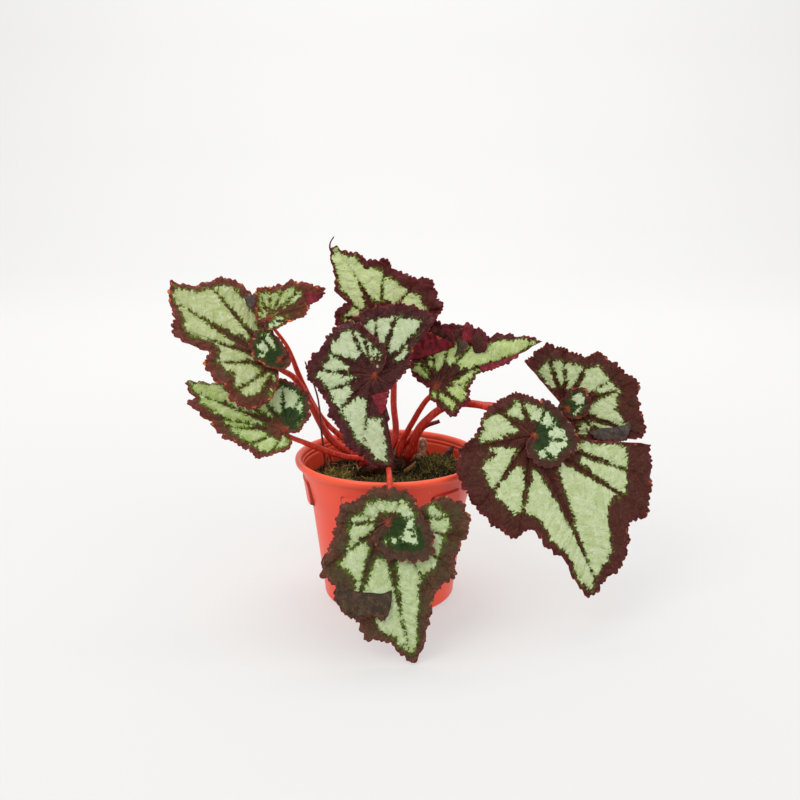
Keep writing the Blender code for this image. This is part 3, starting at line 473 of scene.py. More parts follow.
def leaf_face(name, leaf):
    """The upper face of a blade: silver between dark vein zones, with a dark toothed band."""
    silver_colour, fleck, ground_in, ground_out, seam, greenness, scorch = TONES[leaf["tone"]]
    brim = leaf["lobe_rim"]
    look = Look("leaf_face_" + name)
    look.shader.inputs["Specular IOR Level"].default_value = 0.12
    silver = look.field("silver")
    vein = look.field("vein")
    edge = look.field("edge")
    side = look.field("side")
    radius = look.field("radius")
    lobe = look.field("lobe")
    broad = look.noise(130.0, 3.0) - 0.5
    blotch = look.noise(270.0, 4.0, 0.7) - 0.5
    ragged = look.noise(620.0, 4.0, 0.7) - 0.5
    fine = look.noise(1500.0, 3.0, 0.6) - 0.5
    drift = look.noise(45.0, 2.0) * 13.0
    barbs = look.node("ShaderNodeCombineXYZ", None, {"X": side * 0.62, "Y": vein * 0.14, "Z": drift})
    feather = look.noise(1.0, 4.0, 0.62, spot=Flow(look, barbs.outputs[0])) - 0.5
    depth = silver + feather * 5.5 + blotch * 5.5 + ragged * 4.0
    patch = depth.rise(-0.4, 0.0)
    seam_mask = (depth + ragged * 4.0 + blotch * 5.0).rise(-1.2 - 0.8 * greenness, -0.35)
    ladder = abs((side / 6.5 + broad * 0.9).part() - 0.5) * 6.5
    side_vein = ladder.rise(0.55, 0.1) * (broad + feather).rise(0.0, 0.2)
    ground = look.colour((edge + feather * 9.0).rise(0.5, 6.0), paint(*ground_out), paint(*ground_in))
    ground = look.colour((blotch + feather * 0.7).rise(0.02, -0.22) * 0.75, ground, paint(*[v * 0.6 for v in ground_in]))
    ground = look.colour((fine + ragged * 0.7).rise(0.02, 0.2) * 0.5, ground, paint(*[v * 1.45 + 6 for v in ground_out]))
    ground = look.colour(ladder.rise(0.9, 0.0) * (blotch + ragged).rise(-0.1, 0.2) * 0.35, ground,
                         paint(*[v * 1.3 + 14 for v in ground_out]))
    olive_mask = ((broad + ragged * 0.6 + blotch * 0.8).rise(-0.1, 0.15) * greenness + depth.rise(-5.0, -1.0) * greenness * 0.7).kept()
    ground = look.colour(olive_mask * edge.rise(0.8, 3.0), ground, paint(70, 64, 40))
    ground = look.colour(lobe * (edge + blotch * 4.0).rise(brim - 0.8, brim + 1.0) * 0.9, ground, paint(28, 56, 22))
    ground = look.colour(lobe * (edge + blotch * 4.0).rise(brim, brim - 1.6) * 0.6, ground, paint(58, 46, 36))
    ground = look.colour(seam_mask * (1 - 0.35 * lobe) * 0.85, ground, paint(*seam))
    pale = look.colour((ragged + fine * 0.8).rise(0.05, -0.22) * 0.5, paint(*silver_colour), paint(*fleck))
    pale = look.colour(depth.rise(1.9, 0.2) * 0.4, pale, paint(*fleck))
    pale = look.colour((blotch + feather * 0.5).rise(-0.02, 0.2) * 0.55, pale, paint(205, 214, 182))
    pale = look.colour((broad * 1.2 + blotch * 0.5).rise(0.0, -0.2) * 0.5, pale,
                       paint(*[(a * 2 + b) / 3 for a, b in zip(fleck, silver_colour)]))
    pale = look.colour(lobe * 0.5, pale, paint(198, 214, 184))
    pale = look.colour(side_vein * 0.55, pale, paint(*[(a + 2 * b) / 3 for a, b in zip(fleck, seam)]))
    dots = look.cells(330.0).rise(0.13, 0.06)
    pale = look.colour(dots * 0.7, pale, paint(*seam))
    face = look.colour(patch, ground, pale)
    vein_line = vein.rise(0.5, 0.1) * radius.rise(17.0, 4.0) * (1 - patch) * (1 - lobe * 0.75)
    face = look.colour(vein_line * broad.rise(-0.1, 0.1) * 0.6, face, paint(132, 60, 46))
    face = look.colour((radius + ragged * 5.0).rise(2.8, 1.5) * 0.75, face, paint(146, 68, 44))
    face = look.colour((edge + fine * 1.5).rise(0.5, 0.1) * 0.7, face, paint(132, 30, 38))
    burn = (look.noise(260.0, 3.0) + fine * 0.4).rise(0.64 - 0.12 * scorch, 0.70 - 0.12 * scorch)
    burnt = burn * edge.rise(2.2, 0.4) * radius.rise(7.0, 11.0) * min(1.0, 0.35 + scorch)
    face = look.colour(burnt, face, paint(222, 122, 70))
    pebble = look.cells(760.0).rise(0.75, 0.0)
    relief = pebble * 0.35 + fine * 0.3 + ladder.rise(0.0, 2.4) * 0.9 + vein.rise(0.0, 1.6) * 0.9 + blotch * 2.4
    gloss = 0.46 + fine * 0.3 + patch * 0.06
    return look.finish(face, gloss, relief, 0.0009, 0.7)


def leaf_back(name):
    """The red underside, with pale standing veins."""
    look = Look("leaf_back_" + name)
    vein = look.field("vein")
    edge = look.field("edge")
    side = look.field("side")
    broad = look.noise(120.0, 3.0) - 0.5
    fine = look.noise(900.0, 3.0) - 0.5
    red = look.colour((broad + fine * 0.5).rise(-0.2, 0.25), paint(96, 16, 30), paint(146, 30, 50))
    ladder = abs((side / 6.5 + broad * 0.5).part() - 0.5) * 6.5
    red = look.colour(ladder.rise(0.8, 0.1) * 0.5, red, paint(172, 70, 62))
    red = look.colour(vein.rise(1.3, 0.3) * 0.85, red, paint(190, 92, 70))
    red = look.colour(edge.rise(2.0, 0.3) * 0.5, red, paint(84, 18, 30))
    relief = ladder.rise(1.2, 0.0) * 0.7 + vein.rise(1.6, 0.0) + fine * 0.5
    return look.finish(red, 0.5 + fine * 0.2, relief, 0.0006, 0.6)


def fold_skin(tone):
    """A turned-over strip of leaf: no silver, soft veins, a coloured toothed rim."""
    dark, light, rim = FOLD_TONES[tone]
    look = Look("leaf_fold_" + tone)
    look.shader.inputs["Specular IOR Level"].default_value = 0.15
    edge = look.field("edge")
    side = look.field("side")
    blotch = look.noise(300.0, 4.0, 0.65) - 0.5
    fine = look.noise(1300.0, 3.0, 0.6) - 0.5
    skin = look.colour((blotch + fine * 0.7).rise(-0.2, 0.22), paint(*dark), paint(*light))
    rib = abs((side / 5.2 + blotch * 1.6).part() - 0.5) * 5.2
    skin = look.colour(rib.rise(0.5, 0.1) * blotch.rise(-0.1, 0.15) * 0.3, skin,
                       paint(*[min(255, v * 1.3 + 12) for v in light]))
    skin = look.colour((edge + fine * 1.5 + blotch).rise(0.9, 0.2) * 0.7, skin, paint(*rim))
    burn = (look.noise(300.0, 3.0) + fine * 0.4).rise(0.62, 0.68)
    skin = look.colour(burn * edge.rise(2.4, 0.5) * 0.5, skin, paint(208, 112, 66))
    return look.finish(skin, 0.5 + fine * 0.25, rib.rise(1.6, 0.0) * 0.4 + fine * 0.5 + blotch, 0.0006, 0.6)


def stalk_skin(name, base, tip, dark):
    """A fleshy stalk: ribbed, redder at the foot, with pale dashes along it."""
    look = Look(name)
    along = look.field("along")
    ring = look.field("round")
    stretched = look.stretched((1.0, 1.0, 0.25))
    streak = look.noise(620.0, 3.0, 0.6, spot=stretched) - 0.5
    fine = look.noise(1500.0, 2.0) - 0.5
    skin = look.colour(along.rise(0.0, 1.0), paint(*base), paint(*tip))
    skin = look.colour(streak.rise(-0.05, 0.25) * 0.5, skin, paint(*[min(255, v * 1.25 + 18) for v in tip]))
    skin = look.colour(streak.rise(0.0, -0.3) * 0.45, skin, paint(*dark))
    dashes = look.cells(520.0, spot=stretched).rise(0.22, 0.08)
    skin = look.colour(dashes * 0.35, skin, paint(238, 150, 120))
    skin = look.colour(along.rise(0.08, 0.0) * 0.6, skin, paint(*dark))
    skin = look.colour((along + fine * 0.02).rise(0.972, 0.99), skin, paint(118, 60, 38))
    rib = abs((ring * 7.0).part() - 0.5)
    relief = rib * 0.5 + streak * 0.8 + fine * 0.3
    look.shader.inputs["Specular IOR Level"].default_value = 0.3
    return look.finish(skin, 0.46 + streak * 0.3, relief, 0.0004, 0.5)


def lug_step_shade(look):
    """Mask of painted shade: 1 along the foot of the step round each stacking lug, fading out at its top."""
    parts = look.node("ShaderNodeSeparateXYZ", None, {0: look.spot})
    x, y, z = (Flow(look, parts.outputs[k]) for k in range(3))
    bearing = x.maths("ARCTAN2", x, y * -1.0) * math.degrees(1.0)
    pitch = 360.0 / LUGS
    aside = ((bearing - LUG_FIRST + pitch / 2.0 + 360.0) / pitch).part() * pitch - pitch / 2.0
    dx = abs(aside) * math.radians(53.0) - (math.radians(LUG_HALF_WIDTH) * 53.0 - LUG_CORNER)
    dz = abs(z * 1000.0 - (LUG_HIGH + LUG_LOW) / 2.0) - ((LUG_HIGH - LUG_LOW) / 2.0 - LUG_CORNER)
    corner = dx.most(0.0).maths("POWER", dx.most(0.0), 2.0) + dz.most(0.0).maths("POWER", dz.most(0.0), 2.0)
    beyond = corner.maths("SQRT", corner) + dx.most(dz).maths("MINIMUM", dx.most(dz), 0.0) - LUG_CORNER
    outside = corner.maths("SQRT", x * x + y * y) * 1000.0
    return abs(beyond - 0.1).rise(1.0, 0.45) * outside.rise(47.0, 48.5) * (z * 1000.0).rise(82.0, 79.5) * 0.9


def plastic():
    """Red-orange moulded plastic with a fine satin grain, a few scuffs, a painted highlight on the rim and painted
    shade round the lugs.
    """
    look = Look("pot_plastic")
    look.shader.inputs["Specular IOR Level"].default_value = 0.35
    broad = look.noise(22.0, 3.0) - 0.5
    fine = look.noise(1900.0, 2.0) - 0.5
    high = look.height()
    body = look.colour(broad.rise(-0.2, 0.2), paint(233, 70, 42), paint(239, 80, 50))
    # Painted highlight: the pot is lighter towards its rim.
    body = look.colour(high.rise(0.086, 0.093) * 0.3, body, paint(240, 104, 66))
    dust = look.noise(60.0, 4.0, 0.7).rise(0.52, 0.75) * high.rise(0.03, 0.0)
    body = look.colour(dust * 0.25, body, paint(236, 150, 126))
    scuff = look.cells(150.0, spot=look.stretched((1.0, 1.0, 0.2))).rise(0.07, 0.02)
    body = look.colour(scuff * 0.5, body, paint(250, 150, 130))
    # Painted shade: a dark red line along the foot of each lug's step.
    body = look.colour(lug_step_shade(look), body, paint(128, 18, 10))
    swirl = look.noise(300.0, 2.0, spot=look.stretched((0.2, 0.2, 3.0))) - 0.5
    return look.finish(body, 0.36 + broad * 0.16 + fine * 0.1 + scuff * 0.2, fine * 0.5 + swirl * 0.4, 0.0002, 0.3)


def soil():
    """Dark crumbly mix with coir fibre and bark."""
    look = Look("mix_surface", 0.95)
    look.shader.inputs["Specular IOR Level"].default_value = 0.05
    broad = look.noise(160.0, 4.0) - 0.5
    grain = look.noise(900.0, 5.0, 0.7) - 0.5
    bits = look.cells(330.0).rise(0.4, 0.1)
    body = look.colour((broad + grain).rise(-0.3, 0.4), paint(16, 11, 6), paint(58, 36, 20))
    body = look.colour(bits * broad.rise(0.0, 0.15) * 0.7, body, paint(112, 60, 34))
    return look.finish(body, 0.9 + grain * 0.15, grain + broad, 0.0012, 0.9)


def bark():
    """Chips of bark and fibre lying on the mix."""
    look = Look("bark_bits", 0.9)
    tint = look.noise(190.0, 1.0)
    grain = look.noise(1200.0, 3.0, spot=look.stretched((1.0, 1.0, 0.3))) - 0.5
    body = look.colour(tint.rise(0.35, 0.65), paint(46, 26, 16), paint(128, 78, 46))
    body = look.colour(tint.rise(0.62, 0.72), body, paint(176, 130, 84))
    body = look.colour(grain.rise(0.0, -0.3) * 0.6, body, paint(24, 14, 9))
    return look.finish(body, 0.85 + grain * 0.2, grain, 0.0004, 0.7)


def moss_fibre(name, yellow):
    """Strands of moss, darker at the foot, yellower at the tips."""
    look = Look(name, 0.85)
    tip = look.field("tip")
    broad = look.noise(120.0, 2.0) - 0.5
    fine = look.noise(700.0, 2.0) - 0.5
    tone = look.field("tone")
    dark = look.colour((broad + fine).rise(-0.2, 0.3), paint(14, 13, 5), paint(36, 31, 11))
    light = look.colour(tone.rise(0.15, 0.85), paint(56 + 20 * yellow, 58 + 16 * yellow, 18),
                        paint(164 + 40 * yellow, 152 + 30 * yellow, 64 + 14 * yellow))
    body = look.colour(tip.rise(0.1, 1.0) * (tone + 0.25).kept(), dark, light)
    body = look.colour(broad.rise(0.12, 0.2) * 0.5, body, paint(92, 56, 30))
    return look.finish(body, 0.8 + fine * 0.2, fine, 0.0003, 0.4)


def rootstock(name, dark, light):
    """Corky, scaly skin of the rhizome and its bud."""
    look = Look(name, 0.75)
    broad = look.noise(180.0, 4.0, 0.6) - 0.5
    scale = look.cells(330.0)
    fine = look.noise(1400.0, 3.0) - 0.5
    body = look.colour((broad + fine * 0.6).rise(-0.25, 0.25), paint(*dark), paint(*light))
    body = look.colour(scale.rise(0.35, 0.6) * 0.45, body, paint(*[v * 0.5 for v in dark]))
    body = look.colour((fine + broad).rise(0.2, 0.4) * 0.5, body, paint(*[min(255, v * 1.3 + 20) for v in light]))
    return look.finish(body, 0.7 + fine * 0.25, scale.rise(0.6, 0.0) + fine * 0.6, 0.0006, 0.7)


def dry_stem(name, dark, light):
    """A dried stem or papery scale, streaked along its length."""
    look = Look(name, 0.8)
    streak = look.noise(700.0, 3.0, 0.6, spot=look.stretched((1.0, 1.0, 0.15))) - 0.5
    broad = look.noise(90.0, 2.0) - 0.5
    body = look.colour((streak + broad * 0.6).rise(-0.2, 0.25), paint(*dark), paint(*light))
    return look.finish(body, 0.75 + streak * 0.3, streak, 0.0003, 0.6)


def studio_floor():
    """A matt pale sweep."""
    look = Look("studio_floor", 0.9)
    cloud = look.noise(0.8, 2.0) - 0.5
    body = look.colour(cloud.rise(-0.5, 0.5), paint(146, 146, 145), paint(150, 150, 149))
    look.shader.inputs["Emission Color"].default_value = (1.0, 0.995, 0.98, 1.0)
    look.shader.inputs["Emission Strength"].default_value = FLOOR_GLOW
    return look.finish(body)


# Shaping.

def piece(name, bm, materials, smooth_to=40.0):
    """A finished object from a bmesh, smooth-shaded up to an angle."""
    mesh = bpy.data.meshes.new(name)
    bm.to_mesh(mesh)
    bm.free()
    mesh.polygons.foreach_set("use_smooth", [True] * len(mesh.polygons))
    if smooth_to:
        mesh.set_sharp_from_angle(angle=math.radians(smooth_to))
    for finish in materials:
        mesh.materials.append(finish)
    obj = bpy.data.objects.new(name, mesh)
    bpy.context.scene.collection.objects.link(obj)
    return obj


def fitted(obj, slot, *nodes):
    """The piece rides on the plant and stands for its CAD nodes; its slot is not used."""
    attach(obj, "root")
    if nodes:
        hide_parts(*nodes)
    return obj


def smooth(rows, at, knots=None):
    """A smooth curve through the rows, which lie at the knots (or at 0, 1, 2...), read at the values in at."""
    rows = np.asarray(rows, float)
    knots = np.arange(len(rows)) if knots is None else np.asarray(knots)
    slopes = np.gradient(rows, knots, axis=0)
    low = np.clip(np.searchsorted(knots, at, side="right") - 1, 0, len(rows) - 2)
    span = (knots[low + 1] - knots[low])[:, None]
    t = (np.asarray(at) - knots[low])[:, None] / span
    square, cube = t ** 2, t ** 3
    return ((2 * cube - 3 * square + 1) * rows[low] + (cube - 2 * square + t) * span * slopes[low]
            + (3 * square - 2 * cube) * rows[low + 1] + (cube - square) * span * slopes[low + 1])


def step(low, high, value):
    """Smooth step from 0 at low to 1 at high."""
    t = np.clip((value - low) / (high - low), 0.0, 1.0)
    return t * t * (3.0 - 2.0 * t)


def bent_sheet(points, fields, closed=False):
    """A grid of faces bent to points[column, row] in millimetres, carrying the named fields."""
    columns, rows = points.shape[:2]
    bm = bmesh.new()
    bmesh.ops.create_grid(bm, x_segments=columns - 1, y_segments=rows - 1, size=1.0)
    layers = {name: bm.verts.layers.float.new(name) for name in fields}
    for vert in bm.verts:
        column = round((1.0 - vert.co.x) / 2.0 * (columns - 1))
        row = round((vert.co.y + 1.0) / 2.0 * (rows - 1))
        vert.co = Vector(points[column, row]) * MM
        for name, layer in layers.items():
            vert[layer] = float(fields[name][column, row])
    if closed:
        bmesh.ops.remove_doubles(bm, verts=bm.verts, dist=0.000001)
        bmesh.ops.holes_fill(bm, edges=[edge for edge in bm.edges if edge.is_boundary], sides=0)
        bmesh.ops.recalc_face_normals(bm, faces=bm.faces)
    return bm


def tube(points, radii, samples, around=20, ribs=0.0, lumps=0.0, seed=0, round_tip=True):
    """A closed round stem along a smooth curve, as a sheet bent round it."""
    points = np.asarray(points, float)
    reached = np.concatenate([[0.0], np.cumsum(np.linalg.norm(np.diff(points, axis=0), axis=1))])
    path = smooth(points, np.linspace(0.0, reached[-1], samples), reached)
    share = np.linspace(0.0, 1.0, samples)
    size = np.interp(share, np.linspace(0, 1, len(radii)), radii)
    if round_tip:
        from_tip = np.clip((1.0 - share) * reached[-1] / max(radii[-1], 0.1), 0.0, 1.0)
        size = size * np.sqrt(np.clip(1.0 - (1.0 - from_tip) ** 2, 0.02, 1.0))
    heading = np.gradient(path, axis=0)
    heading /= np.linalg.norm(heading, axis=1)[:, None]
    across = np.cross(heading[0], (0.3, 0.9, 0.2))
    grid = np.zeros((around + 1, samples, 3))
    angle = np.linspace(0.0, math.tau, around + 1)
    for k in range(samples):
        across = across - heading[k] * (across @ heading[k])
        across /= np.linalg.norm(across)
        other = np.cross(heading[k], across)
        ripple = 1.0 + ribs * np.cos(5 * angle)
        if lumps:
            ripple = ripple + lumps * np.array([noise.noise(Vector((math.cos(a) * 1.3, math.sin(a) * 1.3,
                                                                    share[k] * reached[-1] * 0.22 + seed * 7.1)))
                                                for a in angle])
        ripple[-1] = ripple[0]
        grid[:, k] = path[k] + (np.outer(np.cos(angle), across) + np.outer(np.sin(angle), other)) \
            * (size[k] * ripple)[:, None]
    grid[-1] = grid[0]
    fields = {"along": np.tile(share, (around + 1, 1)),
              "round": np.tile((angle / math.tau)[:, None], (1, samples))}
    return bent_sheet(grid, fields, closed=True)


def leaf_axes(face):
    """The blade's normal and its two in-plane axes, rightward and upward as seen from the front."""
    azimuth, elevation = math.radians(face[0]), math.radians(face[1])
    normal = Vector((math.sin(azimuth) * math.cos(elevation), -math.cos(azimuth) * math.cos(elevation),
                     math.sin(elevation)))
    right = Vector((0, 0, 1)).cross(normal).normalized()
    return normal, right, normal.cross(right)


def toothed_margin(leaf, rng):
    """Angle, reach and curl at steps along the margin, with its teeth; no two share a ray."""
    margin = np.array([(p[0], p[1], p[2] if len(p) > 2 else 0.0) for p in leaf["margin"]], float)
    dense = smooth(margin, np.linspace(0, len(margin) - 1, 40 * len(margin)))
    turn = np.radians(dense[:, 0])
    flat = np.stack([dense[:, 1] * np.cos(turn), dense[:, 1] * np.sin(turn)], axis=1)
    run = np.concatenate([[0.0], np.cumsum(np.linalg.norm(np.diff(flat, axis=0), axis=1))])
    at = np.linspace(0.0, run[-1], int(run[-1] / MARGIN_STEP))
    angle, reach, curl = (np.interp(at, run, dense[:, k]) for k in range(3))
    notches = np.cumsum(rng.uniform(1.7, 4.6, int(run[-1] / 1.9) + 4)) - 2.0
    heights = rng.uniform(0.4, 1.9, len(notches))
    k = np.clip(np.searchsorted(notches, at), 1, len(notches) - 1)
    t = np.clip((at - notches[k - 1]) / (notches[k] - notches[k - 1]), 0.0, 1.0)
    lean = t ** 0.8
    tooth = heights[k] * np.sin(np.pi * lean) ** 0.8 - 0.6
    scallops = np.cumsum(rng.uniform(5.0, 11.0, int(run[-1] / 5.0) + 4)) - 5.0
    depths = rng.uniform(0.6, 2.4, len(scallops))
    k = np.clip(np.searchsorted(scallops, at), 1, len(scallops) - 1)
    t = np.clip((at - scallops[k - 1]) / (scallops[k] - scallops[k - 1]), 0.0, 1.0)
    tooth += depths[k] * np.sin(np.pi * t) ** 0.6 - 1.1
    tooth *= np.clip(reach / 18.0, 0.3, 1.0)
    theta = np.radians(angle)
    x, y = reach * np.cos(theta), reach * np.sin(theta)
    along = np.stack([np.gradient(x), np.gradient(y)], axis=1)
    along /= np.linalg.norm(along, axis=1)[:, None] + 1e-9
    x = x + tooth * along[:, 1]
    y = y - tooth * along[:, 0]
    moved = np.degrees(np.arctan2(y, x))
    angle = angle + (moved - angle + 180.0) % 360.0 - 180.0
    reach = np.maximum(np.hypot(x, y), CORE + 1.6)
    kept = [0]
    for k in range(1, len(angle)):
        if angle[k] - angle[kept[-1]] >= NARROWEST:
            kept.append(k)
    return angle[kept], reach[kept], curl[kept]


def mark_fields(leaf, angle, radius, reach):
    """Millimetres from each point to its main vein, to the margin and into the silver, and more."""
    theta = np.radians(angle)[:, None]
    x, y = radius * np.cos(theta), radius * np.sin(theta)
    whole = np.repeat(angle[:, None], radius.shape[1], axis=1)
    rim_x, rim_y, rim_angle = x[:, -1], y[:, -1], angle
    edge = np.empty_like(radius)
    for k in range(len(angle)):
        near = np.abs(rim_angle - angle[k]) < 75.0
        gap = np.hypot(x[k][:, None] - rim_x[near][None, :], y[k][:, None] - rim_y[near][None, :])
        edge[k] = gap.min(axis=1)
    ends = np.full_like(radius, 30.0)
    for end in (0, -1):
        ray = theta[end, 0]
        away = np.abs(-np.sin(ray) * x + np.cos(ray) * y)
        ahead = np.cos(ray) * x + np.sin(ray) * y
        beside = (np.abs(whole - angle[end]) < 80.0) & (ahead > 0)
        ends = np.where(beside, np.minimum(ends, away), ends)
    veins = np.array(leaf["veins"], float)
    reaches = np.interp(veins[:, 1], angle, reach)
    share = radius[..., None] / reaches
    bearing = veins[:, 0] + (veins[:, 1] - veins[:, 0]) * np.clip(share, 0.0, 1.0)
    offset = whole[..., None] - bearing
    across = radius[..., None] * np.sin(np.radians(np.clip(np.abs(offset), 0.0, 90.0)))
    zone = veins[:, 3] + (veins[:, 2] - veins[:, 3]) * np.clip(1.0 - share, 0.0, 1.0) ** 1.6
    vein = across.min(axis=2)
    nearest = across.argmin(axis=2)
    sector = (offset > 0).sum(axis=2)
    starts = np.array(leaf["starts"], float)
    band = np.interp(whole, [b[0] for b in leaf["band"]], [b[1] for b in leaf["band"]])
    clear = across - zone
    limits = np.stack([clear.min(axis=2), radius - starts[sector], edge - band, ends - END_BAND], axis=-1)
    soft = 0.35
    silver = -soft * np.log(np.exp(-np.clip(limits, -30, 30) / soft).sum(axis=-1))
    signed = np.take_along_axis(offset, nearest[..., None], axis=2)[..., 0]
    along = radius * np.cos(np.radians(np.clip(np.abs(signed), 0.0, 90.0)))
    side = along - vein * 0.75
    lobe = 1.0 - step(leaf["lobe"] - 25.0, leaf["lobe"] + 25.0, whole)
    edge = np.minimum(edge, ends + 0.2)
    return {"silver": silver, "vein": vein, "edge": edge, "side": side, "radius": radius, "lobe": lobe}


def blade(name, leaf, seed):
    """A thin puckered blade wound into its spiral, with ruffled, toothed margin."""
    rng = np.random.default_rng(seed)
    angle, reach, curl = toothed_margin(leaf, rng)
    columns = len(angle)
    fine = 4 * ROWS
    share = (np.arange(fine) + 0.5) / fine
    ramp = np.clip((share - 0.55) / 0.45, 0, 1) ** 2
    run = reach[:, None] - CORE
    slope = np.radians(leaf["rise"] - leaf["droop"] * share * reach[:, None] / 50.0 + curl[:, None] * ramp)
    out = np.cumsum(np.cos(slope) * run / fine, axis=1)
    lift = np.cumsum(np.sin(slope) * run / fine, axis=1)
    zero = np.zeros((columns, 1))
    radius = CORE + np.concatenate([zero, out[:, 3::4]], axis=1)
    height = np.concatenate([zero, lift[:, 3::4]], axis=1)
    height -= leaf["turn"] * (angle[:, None] - angle[0]) / 360.0
    flat_radius = CORE + run * np.linspace(0.0, 1.0, ROWS + 1)
    marks = mark_fields(leaf, angle, flat_radius, reach)
    outward = np.linspace(0.0, 1.0, ROWS + 1)[None, :]
    theta = np.radians(angle)[:, None]
    flat = np.stack([flat_radius * np.cos(theta), flat_radius * np.sin(theta),
                     np.repeat(angle[:, None] / 24.0, ROWS + 1, axis=1) + seed * 31.0], axis=-1)
    waves = np.array([noise.noise(Vector(p) / 7.5) * 3.4 + noise.noise(Vector(p) / 3.2) * 1.1
                      for p in flat.reshape(-1, 3)]).reshape(flat_radius.shape)
    size = np.clip((flat_radius - 5.0) / 24.0, 0.0, 1.0)
    ruffle = waves * size * np.clip(1.0 - marks["edge"] / 14.0, 0.0, 1.0) ** 1.3
    grown = np.clip(flat_radius / 14.0, 0.0, 1.0) * (1.0 - 0.65 * outward ** 3)
    valley = -0.75 * np.exp(-(marks["vein"] / 1.1) ** 2) - 0.6 * np.exp(-(marks["vein"] / 3.6) ** 2)
    pucker = 0.28 * np.abs(np.sin(np.pi * marks["side"] / 6.5)) * np.clip(marks["vein"] / 2.0, 0, 1)
    height += ruffle + grown * (valley + pucker * np.clip(marks["edge"] / 2.5, 0, 1))
    turn = np.radians(angle)[:, None]
    normal, right, up = (np.array(axis) for axis in leaf_axes(leaf["face"]))
    points = (np.array(leaf["at"]) + (radius * np.cos(turn))[..., None] * right
              + (radius * np.sin(turn))[..., None] * up + height[..., None] * normal)
    bm = bent_sheet(points, marks)
    obj = piece("blade_" + name, bm, (leaf_face(name, leaf), leaf_back(name)), smooth_to=0)
    thick = obj.modifiers.new("thickness", "SOLIDIFY")
    thick.thickness = BLADE * MM
    thick.offset = -1.0
    thick.material_offset = 1
    thick.material_offset_rim = 1
    return fitted(obj, "leaf", "leaf_" + name)


def on_blade(leaf, angle, radius):
    """Plane position and height of the blade at an angle and a radius along it, in millimetres."""
    run = np.linspace(0.0, np.maximum(radius - CORE, 0.0), 40)
    slope = np.radians(leaf["rise"] - leaf["droop"] * run / 50.0)
    lift = np.trapz(np.sin(slope), run, axis=0) - leaf["turn"] * (angle - leaf["margin"][0][0]) / 360.0
    turn = np.radians(angle)
    return np.stack([radius * np.cos(turn), radius * np.sin(turn), lift], axis=-1)


def fold(name, spec, seed):
    """A strip of blade turned over its own face, from its fold line to its toothed rim."""
    leaf_name, tone, lift_fold, lift_rim, bulge, line, rim = spec
    leaf = LEAVES[leaf_name]
    rng = np.random.default_rng(seed)
    line, rim = np.array(line, float), np.array(rim, float)
    length = np.hypot(*np.diff(np.stack([rim[:, 1] * np.cos(np.radians(rim[:, 0])),
                                         rim[:, 1] * np.sin(np.radians(rim[:, 0]))]))).sum()
    columns, rows = int(length / 0.5), 12
    low, high = (smooth(side, np.linspace(0, len(side) - 1, columns)) for side in (line, rim))
    foot, tip = on_blade(leaf, low[:, 0], low[:, 1]), on_blade(leaf, high[:, 0], high[:, 1])
    at = np.linspace(0.0, length, columns)
    ends = np.clip(np.minimum(at, length - at) / 3.0, 0.0, 1.0)
    tip = foot + (tip - foot) * (0.35 + 0.65 * ends ** 0.6)[:, None]
    out = (tip - foot) / (np.linalg.norm(tip - foot, axis=1)[:, None] + 1e-6)
    notches = np.cumsum(rng.uniform(1.6, 4.2, int(length / 1.6) + 4)) - 2.0
    heights = rng.uniform(0.3, 1.5, len(notches))
    k = np.clip(np.searchsorted(notches, at), 1, len(notches) - 1)
    t = np.clip((at - notches[k - 1]) / (notches[k] - notches[k - 1]), 0.0, 1.0)
    tip = tip + out * (heights[k] * np.sin(np.pi * t) ** 0.8 - 0.5)[:, None]
    share = np.linspace(0.0, 1.0, rows + 1)
    wave = np.array([noise.noise(Vector((a / 4.0, seed * 9.0, 0.0))) for a in at]) * 1.6
    plane = foot[:, None] + (tip - foot)[:, None] * share[None, :, None]
    plane[..., 2] += lift_fold + (lift_rim - lift_fold) * share + bulge * np.sin(np.pi * share * 0.8) \
        + wave[:, None] * share ** 1.5
    plane[..., 2] -= (1.0 - ends)[:, None] * share * lift_rim * 0.6
    normal, right, up = (np.array(axis) for axis in leaf_axes(leaf["face"]))
    points = np.array(leaf["at"]) + plane[..., :1] * right + plane[..., 1:2] * up + plane[..., 2:] * normal
    width = np.linalg.norm(tip - foot, axis=1)[:, None]
    plain = np.ones_like(plane[..., 0])
    marks = {"edge": width * (1.0 - share), "side": plain * at[:, None] - width * share * 0.6,
             "silver": plain * -6.0, "vein": plain * 9.0, "radius": plain * 30.0, "lobe": plain * 0.0}
    skin = FOLD_SKINS[tone] if tone in FOLD_SKINS else bpy.data.materials["leaf_face_" + leaf_name]
    obj = piece("fold_" + name, bent_sheet(points, marks), (skin,), 0)
    thick = obj.modifiers.new("thickness", "SOLIDIFY")
    thick.thickness = BLADE * MM
    thick.offset = 0.0
    return fitted(obj, "leaf")


def tip_thread():
    """The drawn-out thread at the tip of the upper crown leaf."""
    leaf = LEAVES["crown_back"]
    angle, radius = np.array(((123.0, 53.0), (123.0, 57.0), (121.0, 60.0), (117.0, 62.5))).T
    plane = on_blade(leaf, angle, radius)
    normal, right, up = (np.array(axis) for axis in leaf_axes(leaf["face"]))
    line = np.array(leaf["at"]) + plane[:, :1] * right + plane[:, 1:2] * up + plane[:, 2:] * normal
    thread = tube(line, (0.9, 0.6, 0.42, 0.4), 24, 10)
    return fitted(piece("tip_thread", thread, (FOLD_SKINS["red"],), 0), "leaf")


